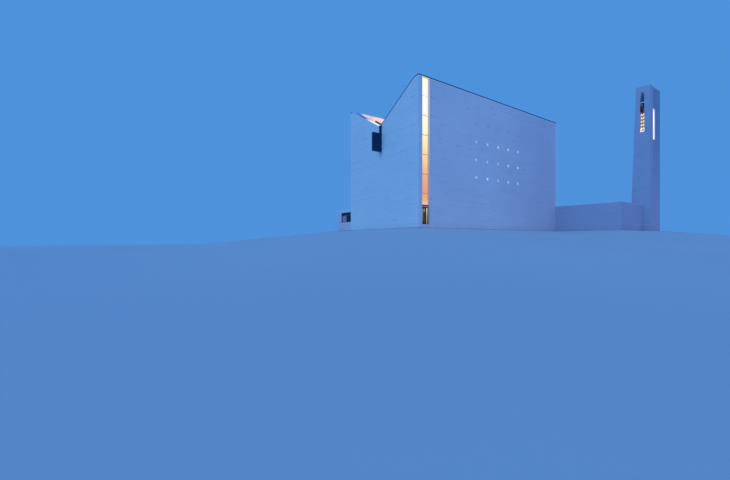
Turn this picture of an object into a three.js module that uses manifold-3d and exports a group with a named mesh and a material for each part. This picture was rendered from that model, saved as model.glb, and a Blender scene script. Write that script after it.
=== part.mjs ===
// A modern white church with a butterfly roof, a low side wing, a courtyard wall and a slim bell tower.
// It is a scale model at 1:2. Every dimension below is in metres of the real building, and the whole
// group is brought to model millimetres once, where it is made.
// Frame: +X along the nave, +Y across it away from the slot window, +Z up, origin in the middle of the
// nave at the foot of its lowest wall. All walls run down to that level.
import * as THREE from "three";
import { mergeVertices } from "three/addons/utils/BufferGeometryUtils.js";
import Module from "manifold-3d";

const wasm = await Module();
wasm.setup();

// Nave
const modelScale = 1 / 2;
const naveLength = 31.2;
const naveWidth = 15.45;
const wallThickness = 0.44;
const floorTop = 0.4;
const seat = 0.0006; // gap left between pieces that touch, 0.3 mm on the model

// Butterfly roof: two wings slope down to a valley, each with a rounded shoulder at its long wall
const eaveTop = 18.3;
const roofSlope = THREE.MathUtils.degToRad(30.6);
const shoulderRadius = 2.7;
const arcSteps = 6;
const roofThickness = 0.34;
const trimHeight = 0.12;
const gutterBottom = 13.75;
const gutterTop = 14.2;
const gutterSheet = 0.04;
const gutterFront = -0.4; // the gutter lies beside the valley line, on the solid wing's side
const gutterBack = 0;
const rooflightBays = 12;
const rooflightRail = 0.18;
const rooflightBar = 0.09;
const rooflightFoot = -0.28;
const rooflightHead = 0.02;
const sheetThickness = 0.05;

// Rain hopper under the gutter on the near gable
const hopperReach = 1.4;
const hopperInset = 0.02;
const hopperTop = 13.1;
const hopperBottom = 10.55;
const stemReach = 0.18;

// Slot window at the corner of the front wall
const pierWidth = 0.16;
const slotWidth = 1.19;
const frameSetback = 0.3;
const frameDepth = 0.08;
const frameRail = 0.05;
const barHeight = 0.07;
const barPitch = 2.37;
const firstBar = 4.14;
const barCount = 6;
const slotGlass = 0.04;

// Door and side light at the foot of the slot
const transomBottom = 2.42;
const transomTop = 2.78;
const jambSetback = 0.26;
const jambWidth = 0.05;
const lightJambWidth = 0.09;
const postWidth = 0.06;
const leafWidth = 0.76;
const leafThickness = 0.07;
const leafSetback = 0.28;
const leafClearance = 0.02;
const hingeClearance = 0.03;
const pivotRadius = 0.015;
const handleInset = 0.11;
const handleBar = 0.024;
const handleReach = 0.06;
const handleBottom = 0.75;
const handleTop = 1.65;

// Small square windows of the two long walls
const windowSize = 0.42;
const windowPitch = 2.4;
const windowColumns = 5;
const windowRows = 4;
const firstWindowX = 10.53 - naveLength / 2;
const firstWindowZ = 7.0;
const paneSetback = 0.08;

// Low wing
const wingWidth = 4.25;
const wingLength = 12.6;
const wingTop = 3.3;
const wingWall = 0.35;
const wingRoof = 0.25;
const wingPier = 1.27;
const wingSill = 1.3;
const wingHead = 2.88;
const wingTransom = 2.44;
const wingSideWindow = 2.4;
const wingSideWindows = 3;
const wingFrameSetback = 0.12;
const wingFrameBar = 0.06;

// Courtyard wall, from the far front corner of the nave to the tower
const courtReach = 9.5;
const courtTop = 4.1;
const courtThickness = 0.35;

// Bell tower: a thick slab holds the bells in a slot, and a thinner shaft stands behind it
const towerGap = 7.5;
const towerLength = 4.3;
const towerAhead = 10.5;
const towerFoot = 2.55;
const towerCrown = 1.82;
const towerTop = 22.8;
const shaftTop = 22.65;
const shaftWall = 0.3;
const shaftRoofTop = 22.4;
const shaftRoof = 0.2;
const slabLength = 1.2;
const bellSlotInset = 0.74;
const bellSlotWidth = 0.54;
const bellSlotBottom = 15.6;
const bellSlotTop = 21.9;
const bellSillTop = 15.8;
const lightSlotWidth = 1.0;
const lightSlotBottom = 14.4;
const lightSlotTop = 19.4;
const lightSetback = 0.1;

// Bells and louvre in the slab's slot
const louvreBottom = 20.2;
const louvreBar = 0.15;
const louvreStile = 0.04;
const slatCount = 9;
const slatHeight = 0.06;
const louvreDepth = 0.14;
const bellRows = 5;
const bellPitch = 0.55;
const lowestBell = 16.05;
const bellRadius = 0.12;
const bellHeight = 0.26;
const rackBar = 0.04;
const rackSetback = 0.24;
const largeBellRadius = 0.22;
const largeBellHeight = 0.5;
const largeBellTop = 20.0;
const yokeWidth = 0.08;
// Half of a bell's outline from the mouth to the crown, in shares of its radius and height
const bellOutline = [
  [0, -1], [1, -1], [1, -0.94], [0.74, -0.78], [0.62, -0.5], [0.56, -0.14], [0.34, 0], [0, 0],
];
const roundSides = 16;
const panelSetback = 0.62;
const panelTop = 18.85;

// Levels and edges that follow
const halfLength = naveLength / 2;
const halfWidth = naveWidth / 2;
const innerX = halfLength - wallThickness;
const innerY = halfWidth - wallThickness;
const slopeRise = Math.tan(roofSlope);
const shoulderEnd = halfWidth - shoulderRadius * Math.sin(roofSlope);
const shoulderDrop = shoulderRadius * (1 - Math.cos(roofSlope));
const valleyTop = eaveTop - shoulderDrop - shoulderEnd * slopeRise;
const wallTop = eaveTop - trimHeight;
const slotLeft = -innerX + pierWidth;
const slotRight = slotLeft + slotWidth;
const frontFace = -halfWidth;
const leafLeft = slotLeft + jambWidth + hingeClearance;
const leafRight = leafLeft + leafWidth;
const leafFront = frontFace + leafSetback;
const postLeft = leafRight + leafClearance;
const postRight = postLeft + postWidth;
const pivotX = leafLeft + leafThickness / 2;
const pivotY = leafFront + leafThickness / 2;
const wingOuter = halfWidth + wingWidth;
const wingEnd = -halfLength + wingLength;
const wingWallTop = wingTop - wingRoof;
const towerLeft = halfLength + towerGap;
const towerRight = towerLeft + towerLength;
const towerFront = frontFace - towerAhead;
const slabRight = towerLeft + slabLength;
const shaftRight = towerRight - shaftWall;

const church = new THREE.Group();
church.scale.setScalar(1000 * modelScale);

const finish = (color, roughness, metalness = 0) =>
  new THREE.MeshStandardMaterial({ color, roughness, metalness });
const whiteWall = finish(0xdfe2e6, 0.85);
const stone = finish(0xb4b2ad, 0.9);
const roofing = finish(0x6b7078, 0.7);
const darkMetal = finish(0x23272f, 0.5, 0.6);
const lightMetal = finish(0xc4ccd6, 0.4, 0.7);
const warmGlass = finish(0xf3dca0, 0.15);
const coolGlass = finish(0xcfe0f4, 0.15);
const darkGlass = finish(0x1c2430, 0.1);
const bronze = finish(0xb88a3c, 0.35, 0.9);
const doorMetal = finish(0x2b2118, 0.45, 0.4);

/** Adds one named piece to the church. */
function add(name, geometry, material) {
  const mesh = new THREE.Mesh(geometry, material);
  mesh.name = name;
  church.add(mesh);
}

/** A box between two corners. */
function box(x0, y0, z0, x1, y1, z1) {
  const geometry = new THREE.BoxGeometry(x1 - x0, y1 - y0, z1 - z0);
  return geometry.translate((x0 + x1) / 2, (y0 + y1) / 2, (z0 + z1) / 2);
}

/** The four corners of a rectangle, as outline points. */
function rectangle(left, bottom, right, top) {
  return [[left, bottom], [right, bottom], [right, top], [left, top]];
}

/** Two values, the smaller one first. */
function inOrder(a, b) {
  return [Math.min(a, b), Math.max(a, b)];
}

/** An outline raised squarely by a depth, with holes cut right through it. */
function prism(points, depth, holes = []) {
  const raise = (corners, low, high) => {
    const shape = new THREE.Shape(corners.map(([a, b]) => new THREE.Vector2(a, b)));
    const raised = new THREE.ExtrudeGeometry(shape, { depth: high - low, bevelEnabled: false });
    return raised.translate(0, 0, low);
  };
  const body = raise(points, 0, depth);
  return holes.length ? cut(body, ...holes.map((hole) => raise(hole, -seat, depth + seat))) : body;
}

/** A Y-Z outline with holes, carried along X from x0 to x1. */
function alongX(points, x0, x1, holes = []) {
  const turn = new THREE.Matrix4().makeBasis(
    new THREE.Vector3(0, 1, 0),
    new THREE.Vector3(0, 0, 1),
    new THREE.Vector3(1, 0, 0),
  );
  return prism(points, x1 - x0, holes).applyMatrix4(turn).translate(x0, 0, 0);
}

/** An X-Z outline with holes, carried along Y from y0 to y1. */
function alongY(points, y0, y1, holes = []) {
  const turn = new THREE.Matrix4().makeBasis(
    new THREE.Vector3(1, 0, 0),
    new THREE.Vector3(0, 0, 1),
    new THREE.Vector3(0, -1, 0),
  );
  return prism(points, y1 - y0, holes).applyMatrix4(turn).translate(0, y1, 0);
}

/** An X-Y outline with holes lying on the rooflight's slope, between two heights over the roof line. */
function onSlope(points, low, high, holes = []) {
  const slope = new THREE.Matrix4().makeBasis(
    new THREE.Vector3(1, 0, 0),
    new THREE.Vector3(0, 1, slopeRise),
    new THREE.Vector3(0, 0, 1),
  );
  return prism(points, high - low, holes).applyMatrix4(slope).translate(0, 0, valleyTop + low);
}

/** Turns a closed geometry into a solid that can be joined. */
function solid(geometry) {
  const bare = geometry.clone();
  bare.deleteAttribute("normal");
  bare.deleteAttribute("uv");
  const welded = mergeVertices(bare);
  return new wasm.Manifold(new wasm.Mesh({
    numProp: 3,
    vertProperties: new Float32Array(welded.attributes.position.array),
    triVerts: new Uint32Array(welded.index.array),
  }));
}

/** Turns a solid back into a geometry. */
function geometryOf(body) {
  const mesh = body.getMesh();
  const geometry = new THREE.BufferGeometry();
  geometry.setAttribute("position", new THREE.BufferAttribute(mesh.vertProperties, 3));
  geometry.setIndex(new THREE.BufferAttribute(mesh.triVerts, 1));
  geometry.computeVertexNormals();
  return geometry;
}

/** Joins overlapping geometries into one closed body. */
function join(...geometries) {
  return geometryOf(geometries.map(solid).reduce((sum, next) => sum.add(next)));
}

/** Cuts the other geometries out of the first. */
function cut(whole, ...others) {
  return geometryOf(others.map(solid).reduce((rest, next) => rest.subtract(next), solid(whole)));
}

/** Height of the roof line at y, sunk squarely by depth. */
function roofHeight(y, depth) {
  const reach = Math.abs(y);
  const radius = shoulderRadius - depth;
  const arcStart = halfWidth - radius * Math.sin(roofSlope);
  if (reach > arcStart) {
    return eaveTop - shoulderRadius + Math.sqrt(radius ** 2 - (halfWidth - reach) ** 2);
  }
  return valleyTop - depth / Math.cos(roofSlope) + reach * slopeRise;
}

/** Points of the roof line from one y to another on the same side of the valley, sunk by depth. */
function roofLine(from, to, depth) {
  const radius = shoulderRadius - depth;
  const side = Math.sign(from);
  const stops = [from, to];
  for (let step = 0; step <= arcSteps; step += 1) {
    const y = side * (halfWidth - radius * Math.sin((roofSlope * step) / arcSteps));
    if ((y - from) * (y - to) < 0) {
      stops.push(y);
    }
  }
  stops.sort((a, b) => (to > from ? a - b : b - a));
  return stops.map((y) => [y, roofHeight(y, depth)]);
}

/** A strip of the roof between two y values, of one thickness measured squarely. */
function roofStrip(from, to, top, bottom) {
  return [...roofLine(from, to, top), ...roofLine(from, to, bottom).reverse()];
}

/** The centres of the small windows of a long wall. */
function windowCentres() {
  const centres = [];
  for (let row = 0; row < windowRows; row += 1) {
    for (let column = 0; column < windowColumns; column += 1) {
      centres.push([firstWindowX + column * windowPitch, firstWindowZ + row * windowPitch]);
    }
  }
  return centres;
}

/** A square window outline around a centre, smaller all round by the given margin. */
function windowHole([x, z], margin = 0) {
  const half = windowSize / 2 - margin;
  return rectangle(x - half, z - half, x + half, z + half);
}

/** One long wall with its small windows cut through. */
function longWall(name, x0, y0) {
  const holes = windowCentres().map((centre) => windowHole(centre));
  const outline = rectangle(x0, 0, innerX - seat, wallTop);
  add(name, alongY(outline, y0, y0 + wallThickness, holes), whiteWall);
}

/** One sheet of glass inside a long wall, with a pane that fills each window up to its setback. */
function windowGlass(name, side) {
  const face = side * halfWidth;
  const inside = side * (innerY - seat);
  const back = side * (innerY - sheetThickness);
  const paneFace = face - side * paneSetback;
  const centres = windowCentres();
  const [left, bottom] = centres[0];
  const [right, top] = centres[centres.length - 1];
  const sheet = rectangle(left - windowSize, bottom - windowSize, right + windowSize, top + windowSize);
  const panes = centres.map((centre) => alongY(
    windowHole(centre, seat),
    ...inOrder(paneFace, inside - side * sheetThickness / 2),
  ));
  add(name, join(alongY(sheet, ...inOrder(inside, back)), ...panes), coolGlass);
}

/** The nave's floor and four walls. */
function buildNave() {
  const corners = rectangle(-halfWidth, 0, halfWidth, 0).slice(0, 2);
  const right = roofLine(halfWidth, gutterBack + seat, trimHeight);
  const left = roofLine(gutterFront - seat, -halfWidth, trimHeight);
  const notchFoot = gutterBottom - seat;
  const notchFloor = [[gutterBack + seat, notchFoot], [gutterFront - seat, notchFoot]];
  const valley = [0, roofHeight(0, trimHeight)];
  const notched = [...corners, ...right, ...notchFloor, ...left];
  const plain = [...corners, ...right, valley, ...left];
  add("near_gable_wall", alongX(notched, -halfLength, -innerX), whiteWall);
  add("far_gable_wall", alongX(plain, innerX, halfLength), whiteWall);
  longWall("front_long_wall", slotRight, -halfWidth);
  longWall("back_long_wall", -innerX + seat, innerY);
  add("corner_pier", box(
    -innerX + seat, frontFace, 0,
    slotLeft, -innerY, wallTop,
  ), whiteWall);
  add("nave_floor", box(
    -innerX + seat, -innerY + seat, 0,
    innerX - seat, innerY - seat, floorTop,
  ), stone);
  windowGlass("front_window_glass", -1);
  windowGlass("back_window_glass", 1);
}

/** The solid wing, the far shoulder, the valley gutter and the hopper that empties it. */
function buildRoof() {
  const x0 = -innerX + seat;
  const x1 = innerX - seat;
  const outer = innerY - seat;
  const wing = roofStrip(gutterFront - seat, -outer, roofThickness, 0).reverse();
  add("roof_wing", alongX(wing, x0, x1), roofing);
  add("rooflight_shoulder", alongX(roofStrip(shoulderEnd, outer, roofThickness, 0), x0, x1), roofing);
  const channelFloor = gutterBottom + gutterSheet;
  const channel = [
    [gutterFront, gutterBottom], [gutterBack, gutterBottom], [gutterBack, gutterTop],
    [gutterBack - gutterSheet, gutterTop], [gutterBack - gutterSheet, channelFloor],
    [gutterFront + gutterSheet, channelFloor], [gutterFront + gutterSheet, gutterTop],
    [gutterFront, gutterTop],
  ];
  add("valley_gutter", alongX(channel, -halfLength - stemReach, x1), darkMetal);
  const hopperFront = gutterFront + hopperInset;
  const hopperBack = gutterBack - hopperInset;
  const wallSide = -halfLength - seat;
  const stemFoot = hopperTop - frameRail;
  add("rain_hopper", join(
    box(-halfLength - hopperReach, hopperFront, hopperBottom, wallSide, hopperBack, hopperTop),
    box(-halfLength - stemReach, hopperFront, stemFoot, wallSide, hopperBack, gutterBottom - seat),
  ), darkMetal);
}

/** The glazed wing: one sheet of glass on a frame with a bar between each two bays. */
function buildRooflight() {
  const x0 = -innerX + seat;
  const x1 = innerX - seat;
  const y0 = gutterBack + seat;
  const y1 = shoulderEnd - seat;
  const clear = (x1 - x0 - 2 * rooflightRail - (rooflightBays - 1) * rooflightBar) / rooflightBays;
  const bays = [];
  for (let bay = 0; bay < rooflightBays; bay += 1) {
    const left = x0 + rooflightRail + bay * (clear + rooflightBar);
    bays.push(rectangle(left, y0 + rooflightRail, left + clear, y1 - rooflightRail));
  }
  const outline = rectangle(x0, y0, x1, y1);
  const glassFoot = rooflightHead + seat;
  add("rooflight_frame", onSlope(outline, rooflightFoot, rooflightHead, bays), darkMetal);
  add("rooflight_glass", onSlope(outline, glassFoot, glassFoot + sheetThickness), warmGlass);
}

/** Thin metal edges on the gables and along the eaves. */
function buildEdges() {
  const inner = innerY - seat;
  const gables = [["near", -halfLength, -innerX - seat], ["far", innerX + seat, halfLength]];
  for (const [gable, x0, x1] of gables) {
    const right = roofStrip(gutterFront - seat, -inner, trimHeight - seat, 0).reverse();
    const left = roofStrip(gutterBack + seat, inner, trimHeight - seat, 0);
    add(`${gable}_verge_right`, alongX(right, x0, x1), darkMetal);
    add(`${gable}_verge_left`, alongX(left, x0, x1), lightMetal);
  }
  for (const [name, side] of [["front_eave_trim", -1], ["back_eave_trim", 1]]) {
    const base = wallTop + seat;
    const crown = roofLine(side * halfWidth, side * innerY, 0);
    const outline = [[side * innerY, base], [side * halfWidth, base], ...crown];
    add(name, alongX(side > 0 ? outline : outline.reverse(), -halfLength, halfLength), darkMetal);
  }
}

/** The tall slot window: its barred frame and one sheet of glass behind it. */
function buildSlotWindow() {
  const left = slotLeft + seat;
  const right = slotRight - seat;
  const bottom = transomTop + seat;
  const top = wallTop;
  const frameFront = frontFace + frameSetback;
  const frameBack = frameFront + frameDepth;
  const panes = [];
  let paneBottom = bottom + frameRail;
  for (let bar = 0; bar <= barCount; bar += 1) {
    const barCentre = firstBar + bar * barPitch;
    const paneTop = bar < barCount ? barCentre - barHeight / 2 : top - frameRail;
    panes.push(rectangle(left + frameRail, paneBottom, right - frameRail, paneTop));
    paneBottom = barCentre + barHeight / 2;
  }
  add("slot_frame", alongY(rectangle(left, bottom, right, top), frameFront, frameBack, panes), darkMetal);
  add("slot_glass", box(left, frameBack + seat, bottom, right, frameBack + slotGlass, top), warmGlass);
}

/** A short upright pivot pin at the door's axis. */
function pivotPin(z0, z1) {
  const pin = new THREE.CylinderGeometry(pivotRadius, pivotRadius, z1 - z0, roundSides);
  return pin.rotateX(Math.PI / 2).translate(pivotX, pivotY, (z0 + z1) / 2);
}

/** The door at the foot of the slot, its frame and the lit strip beside it. */
function buildDoor() {
  const left = slotLeft + seat;
  const right = slotRight - seat;
  const front = frontFace + jambSetback;
  const back = -innerY;
  const foot = floorTop + seat;
  const head = transomBottom - seat;
  const lap = pivotRadius;
  const leafFoot = floorTop + leafClearance;
  const leafHead = transomBottom - leafClearance;
  add("door_threshold", join(
    box(left, frontFace, 0, right, back, floorTop),
    pivotPin(floorTop - lap, leafFoot - seat),
  ), stone);
  add("slot_transom", join(
    box(left, front, transomBottom, right, back, transomTop),
    pivotPin(leafHead + seat, transomBottom + lap),
  ), darkMetal);
  add("hinge_jamb", box(left, front, foot, slotLeft + jambWidth, back, head), darkMetal);
  add("door_post", box(postLeft, front, foot, postRight, back, head), darkMetal);
  const lightRight = slotRight - lightJambWidth;
  add("sidelight_jamb", box(lightRight, front, foot, right, back, head), darkMetal);
  const lightFront = frontFace + frameSetback;
  add("sidelight_glass", box(
    postRight + seat, lightFront, foot,
    lightRight - seat, lightFront + slotGlass, head,
  ), warmGlass);
  add("door_leaf", box(
    leafLeft, leafFront, leafFoot,
    leafRight, leafFront + leafThickness, leafHead,
  ), doorMetal);
  const gripX = leafRight - handleInset;
  const gripFront = leafFront - handleReach;
  const leafSide = leafFront - seat;
  const grip = (z0, z1, y1) => box(gripX, gripFront, z0, gripX + handleBar, y1, z1);
  const low = floorTop + handleBottom;
  const high = floorTop + handleTop;
  add("door_handle", join(
    grip(low, high, gripFront + handleBar),
    grip(low + handleBar, low + 2 * handleBar, leafSide),
    grip(high - 2 * handleBar, high - handleBar, leafSide),
  ), lightMetal);
}

/** One end wall of the low wing, its window reaching to the nave. */
function wingEndWall(name, x0) {
  const inner = halfWidth + seat;
  const pier = wingOuter - wingPier;
  const outline = [
    [inner, 0], [wingOuter, 0], [wingOuter, wingWallTop - seat], [inner, wingWallTop - seat],
    [inner, wingHead], [pier, wingHead], [pier, wingSill], [inner, wingSill],
  ];
  add(name, alongX(outline, x0, x0 + wingWall), whiteWall);
}

/** The window of one end of the low wing: a frame with a transom and a mullion, and its glass. */
function wingEndWindow(name, x0, inward) {
  const left = halfWidth + 2 * seat;
  const right = wingOuter - wingPier - seat;
  const bottom = wingSill + seat;
  const top = wingHead - seat;
  const middle = (left + right) / 2;
  const bar = wingFrameBar;
  const columns = [[left + bar, middle - bar / 2], [middle + bar / 2, right - bar]];
  const rows = [[bottom + bar, wingTransom - bar / 2], [wingTransom + bar / 2, top - bar]];
  const panes = columns.flatMap(([y0, y1]) => rows.map(([z0, z1]) => rectangle(y0, z0, y1, z1)));
  const frameBack = x0 + inward * frameDepth;
  const outline = rectangle(left, bottom, right, top);
  add(`${name}_frame`, alongX(outline, ...inOrder(x0, frameBack), panes), darkMetal);
  const [g0, g1] = inOrder(frameBack + inward * seat, frameBack + inward * slotGlass);
  add(`${name}_glass`, box(g0, left, bottom, g1, right, top), darkGlass);
}

/** The low wing beside the nave. */
function buildWing() {
  const x0 = -halfLength;
  const innerStart = x0 + wingWall + seat;
  const innerEnd = wingEnd - wingWall - seat;
  const sideFace = wingOuter - wingWall;
  wingEndWall("wing_near_wall", x0);
  wingEndWall("wing_far_wall", wingEnd - wingWall);
  wingEndWindow("wing_near_window", x0 + wingFrameSetback, 1);
  wingEndWindow("wing_far_window", wingEnd - wingFrameSetback, -1);
  const pier = (innerEnd - innerStart - wingSideWindows * wingSideWindow) / (wingSideWindows + 1);
  const holes = [];
  for (let index = 0; index < wingSideWindows; index += 1) {
    const left = innerStart + pier + index * (wingSideWindow + pier);
    holes.push(rectangle(left, wingSill, left + wingSideWindow, wingHead));
  }
  const outline = rectangle(innerStart, 0, innerEnd, wingWallTop - seat);
  add("wing_side_wall", alongY(outline, sideFace, wingOuter, holes), whiteWall);
  add("wing_side_glass", box(
    innerStart + pier / 2, sideFace - sheetThickness, wingSill - frameRail,
    innerEnd - pier / 2, sideFace - seat, wingHead + frameRail,
  ), darkGlass);
  add("wing_floor", box(innerStart, halfWidth + seat, 0, innerEnd, sideFace - seat, floorTop), stone);
  add("wing_roof", box(x0, halfWidth + seat, wingWallTop, wingEnd, wingOuter, wingTop), whiteWall);
}

/** The two legs of the courtyard wall. */
function buildCourtyard() {
  const corner = frontFace - courtReach;
  const inner = halfLength - courtThickness;
  const turn = corner + courtThickness;
  add("courtyard_wall_side", box(inner, turn + seat, 0, halfLength, frontFace - seat, courtTop), whiteWall);
  add("courtyard_wall_front", box(inner, corner, 0, towerLeft - seat, turn, courtTop), whiteWall);
}

/** Y of the tower's sloping back face at a height. */
function towerBack(z) {
  return towerFront + towerFoot + ((towerCrown - towerFoot) * z) / towerTop;
}

/** The tower's slab and the hollow shaft behind it. */
function buildTower() {
  const slotFront = towerFront + bellSlotInset;
  const slotBack = slotFront + bellSlotWidth;
  const slab = [
    [towerFront, 0], [towerBack(0), 0],
    [towerBack(towerTop), towerTop], [towerFront, towerTop],
  ];
  const slot = rectangle(slotFront, bellSlotBottom, slotBack, bellSlotTop);
  add("tower_slab", alongX(slab, towerLeft, slabRight, [slot]), whiteWall);
  const lightRight = slabRight + lightSlotWidth;
  const front = [
    [slabRight + seat, 0], [towerRight, 0], [towerRight, shaftTop], [slabRight + seat, shaftTop],
    [slabRight + seat, lightSlotTop], [lightRight, lightSlotTop],
    [lightRight, lightSlotBottom], [slabRight + seat, lightSlotBottom],
  ];
  const shaftFront = towerFront + shaftWall;
  add("tower_front_wall", alongY(front, towerFront, shaftFront), whiteWall);
  const sideFront = shaftFront + seat;
  const side = [
    [sideFront, 0], [towerBack(0), 0],
    [towerBack(shaftTop), shaftTop], [sideFront, shaftTop],
  ];
  add("tower_side_wall", alongX(side, shaftRight, towerRight), whiteWall);
  const back = [
    [towerBack(0) - shaftWall, 0], [towerBack(0), 0],
    [towerBack(shaftTop), shaftTop], [towerBack(shaftTop) - shaftWall, shaftTop],
  ];
  add("tower_back_wall", alongX(back, slabRight + seat, shaftRight - seat), whiteWall);
  const roofFoot = shaftRoofTop - shaftRoof;
  const roofBack = (z) => towerBack(z) - shaftWall - seat;
  const cover = [
    [sideFront, roofFoot], [roofBack(roofFoot), roofFoot],
    [roofBack(shaftRoofTop), shaftRoofTop], [sideFront, shaftRoofTop],
  ];
  add("tower_roof", alongX(cover, slabRight + seat, shaftRight - seat), stone);
  add("light_slot_glass", box(
    slabRight + 2 * seat, towerFront + lightSetback, lightSlotBottom + seat,
    lightRight - seat, towerFront + lightSetback + sheetThickness, lightSlotTop - seat,
  ), coolGlass);
}

/** One bell of a given size hanging from z, as a closed turned body. */
function bell(x, y, z, radius, height) {
  const profile = bellOutline.map(([across, up]) => new THREE.Vector2(across * radius, up * height));
  const turned = new THREE.LatheGeometry(profile, roundSides);
  return turned.rotateX(Math.PI / 2).translate(x, y, z);
}

/** The rack of small bells, two to a row, with the large bell above it. */
function buildBells(left, right) {
  const middle = (left + right) / 2;
  const x0 = towerLeft + rackSetback;
  const bellX = x0 + rackBar / 2;
  const postX = x0 + rackBar;
  const post = rackBar / 2;
  const rackTop = lowestBell + bellHeight + (bellRows - 1) * bellPitch + rackBar;
  const pieces = [box(
    postX, middle - post, bellSillTop + seat,
    postX + rackBar, middle + post, rackTop,
  )];
  for (let row = 0; row < bellRows; row += 1) {
    const barFoot = lowestBell + bellHeight + row * bellPitch;
    pieces.push(box(x0, left, barFoot, postX + post, right, barFoot + rackBar));
    for (const side of [-1, 1]) {
      const bellY = middle + (side * bellSlotWidth) / 4;
      pieces.push(bell(bellX, bellY, barFoot + post, bellRadius, bellHeight));
    }
  }
  add("bell_rack", join(...pieces), bronze);
  const largeX = towerLeft + lightSetback + louvreDepth / 2;
  const yoke = yokeWidth / 2;
  add("large_bell", join(
    bell(largeX, middle, largeBellTop, largeBellRadius, largeBellHeight),
    box(
      largeX - yoke, middle - yoke, largeBellTop - yoke,
      largeX + yoke, middle + yoke, louvreBottom - seat,
    ),
  ), bronze);
}

/** What fills the bells' slot: the bells, the lit panel behind them, the sill and the louvre. */
function buildBellSlot() {
  const left = towerFront + bellSlotInset + seat;
  const right = left + bellSlotWidth - 2 * seat;
  buildBells(left, right);
  const panelX = towerLeft + panelSetback;
  add("bell_back_panel", box(
    panelX, left, bellSillTop + seat,
    panelX + sheetThickness, right, panelTop,
  ), warmGlass);
  add("bell_slot_sill", box(
    towerLeft + frameRail, left, bellSlotBottom + seat,
    slabRight - frameRail, right, bellSillTop,
  ), lightMetal);
  const louvreTop = bellSlotTop - seat;
  const louvreX = towerLeft + lightSetback;
  const slatStart = louvreBottom + louvreBar;
  const slatPitch = (louvreTop - slatStart) / slatCount;
  const stile = (y0, y1) => box(louvreX, y0, louvreBottom, louvreX + louvreDepth, y1, louvreTop);
  const slats = [
    stile(left, left + louvreStile),
    stile(right - louvreStile, right),
    box(louvreX, left, louvreBottom, louvreX + louvreDepth, right, slatStart),
  ];
  for (let slat = 0; slat < slatCount; slat += 1) {
    const z0 = slatStart + (slat + 1) * slatPitch - slatHeight;
    slats.push(box(louvreX, left, z0, louvreX + louvreDepth, right, z0 + slatHeight));
  }
  add("bell_slot_louvre", join(...slats), darkMetal);
}

buildNave();
buildRoof();
buildRooflight();
buildEdges();
buildSlotWindow();
buildDoor();
buildWing();
buildCourtyard();
buildTower();
buildBellSlot();

export default church;
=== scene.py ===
"""A modern white church with a butterfly roof, dressed around its fixed frame.

The church is a 1:2 scale model. Every length is in metres of the model, with +Z up, +X along the nave towards
the tower and +Y across the nave, away from the tall slot window.
"""

import logging
import math
from contextlib import contextmanager
from dataclasses import dataclass
from enum import Enum
from functools import cached_property
from typing import Callable, Iterator, NamedTuple

import bmesh
import bpy
import numpy as np
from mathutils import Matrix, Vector


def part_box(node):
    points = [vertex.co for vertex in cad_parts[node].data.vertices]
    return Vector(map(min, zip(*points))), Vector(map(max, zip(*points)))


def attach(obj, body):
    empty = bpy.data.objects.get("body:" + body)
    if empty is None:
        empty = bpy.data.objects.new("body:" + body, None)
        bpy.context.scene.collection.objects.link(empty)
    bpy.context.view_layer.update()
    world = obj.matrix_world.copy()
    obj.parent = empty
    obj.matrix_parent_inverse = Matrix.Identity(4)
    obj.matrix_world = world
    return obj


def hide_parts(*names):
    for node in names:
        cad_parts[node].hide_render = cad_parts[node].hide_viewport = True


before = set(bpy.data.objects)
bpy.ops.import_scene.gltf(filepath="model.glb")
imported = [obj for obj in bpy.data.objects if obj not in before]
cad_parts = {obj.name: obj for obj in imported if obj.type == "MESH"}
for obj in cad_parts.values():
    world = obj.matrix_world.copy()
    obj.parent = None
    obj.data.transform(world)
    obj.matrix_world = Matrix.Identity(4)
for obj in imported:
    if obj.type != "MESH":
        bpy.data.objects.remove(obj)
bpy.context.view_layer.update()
LOG = logging.getLogger("church")

Colour = tuple[float, float, float, float]
Point = tuple[float, float, float]
Pair = tuple[float, float]
Stops = tuple[tuple[float, Colour], ...]
Part = bpy.types.Object

BLACK: Colour = (0.0, 0.0, 0.0, 1.0)
GREY: Colour = (0.5, 0.5, 0.5, 1.0)
WHITE: Colour = (1.0, 1.0, 1.0, 1.0)

UP: Point = (0.0, 0.0, 1.0)
DOWN: Point = (0.0, 0.0, -1.0)
AHEAD: Point = (0.0, -1.0, 0.0)

# How far parts are kept apart or let in, what counts as facing one way, and which edges are sharp
SEAL = 0.0006
FACING = 0.9
SHARP_EDGE = math.radians(50)
SMOOTH_EDGE = math.radians(40)

# How wide most edges are bevelled
FINE_EDGE = 0.001
SHEET_EDGE = 0.0015
BAR_EDGE = 0.002
BOARD_EDGE = 0.003

# How closely rain marks follow each other along each axis
RAIN_STREAKS: Point = (16.0, 16.0, 0.9)


class Axis(Enum):
    """The three axes, by their place in a point."""

    X = 0
    Y = 1
    Z = 2


class Body(Enum):
    """The body that a piece moves with."""

    BUILDING = "building"
    DOOR = "door"


class Slot(Enum):
    """The record's material slots, by name."""

    WHITE_WALL = "white_wall"
    ROOFING = "roofing"
    DARK_METAL = "dark_metal"
    LIGHT_METAL = "light_metal"
    WARM_GLASS = "warm_glass"
    BRONZE = "bronze"
    DOOR_METAL = "door_metal"


class Side(Enum):
    """The two long sides of the nave, by the sign of Y."""

    FRONT = -1
    BACK = 1


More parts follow.
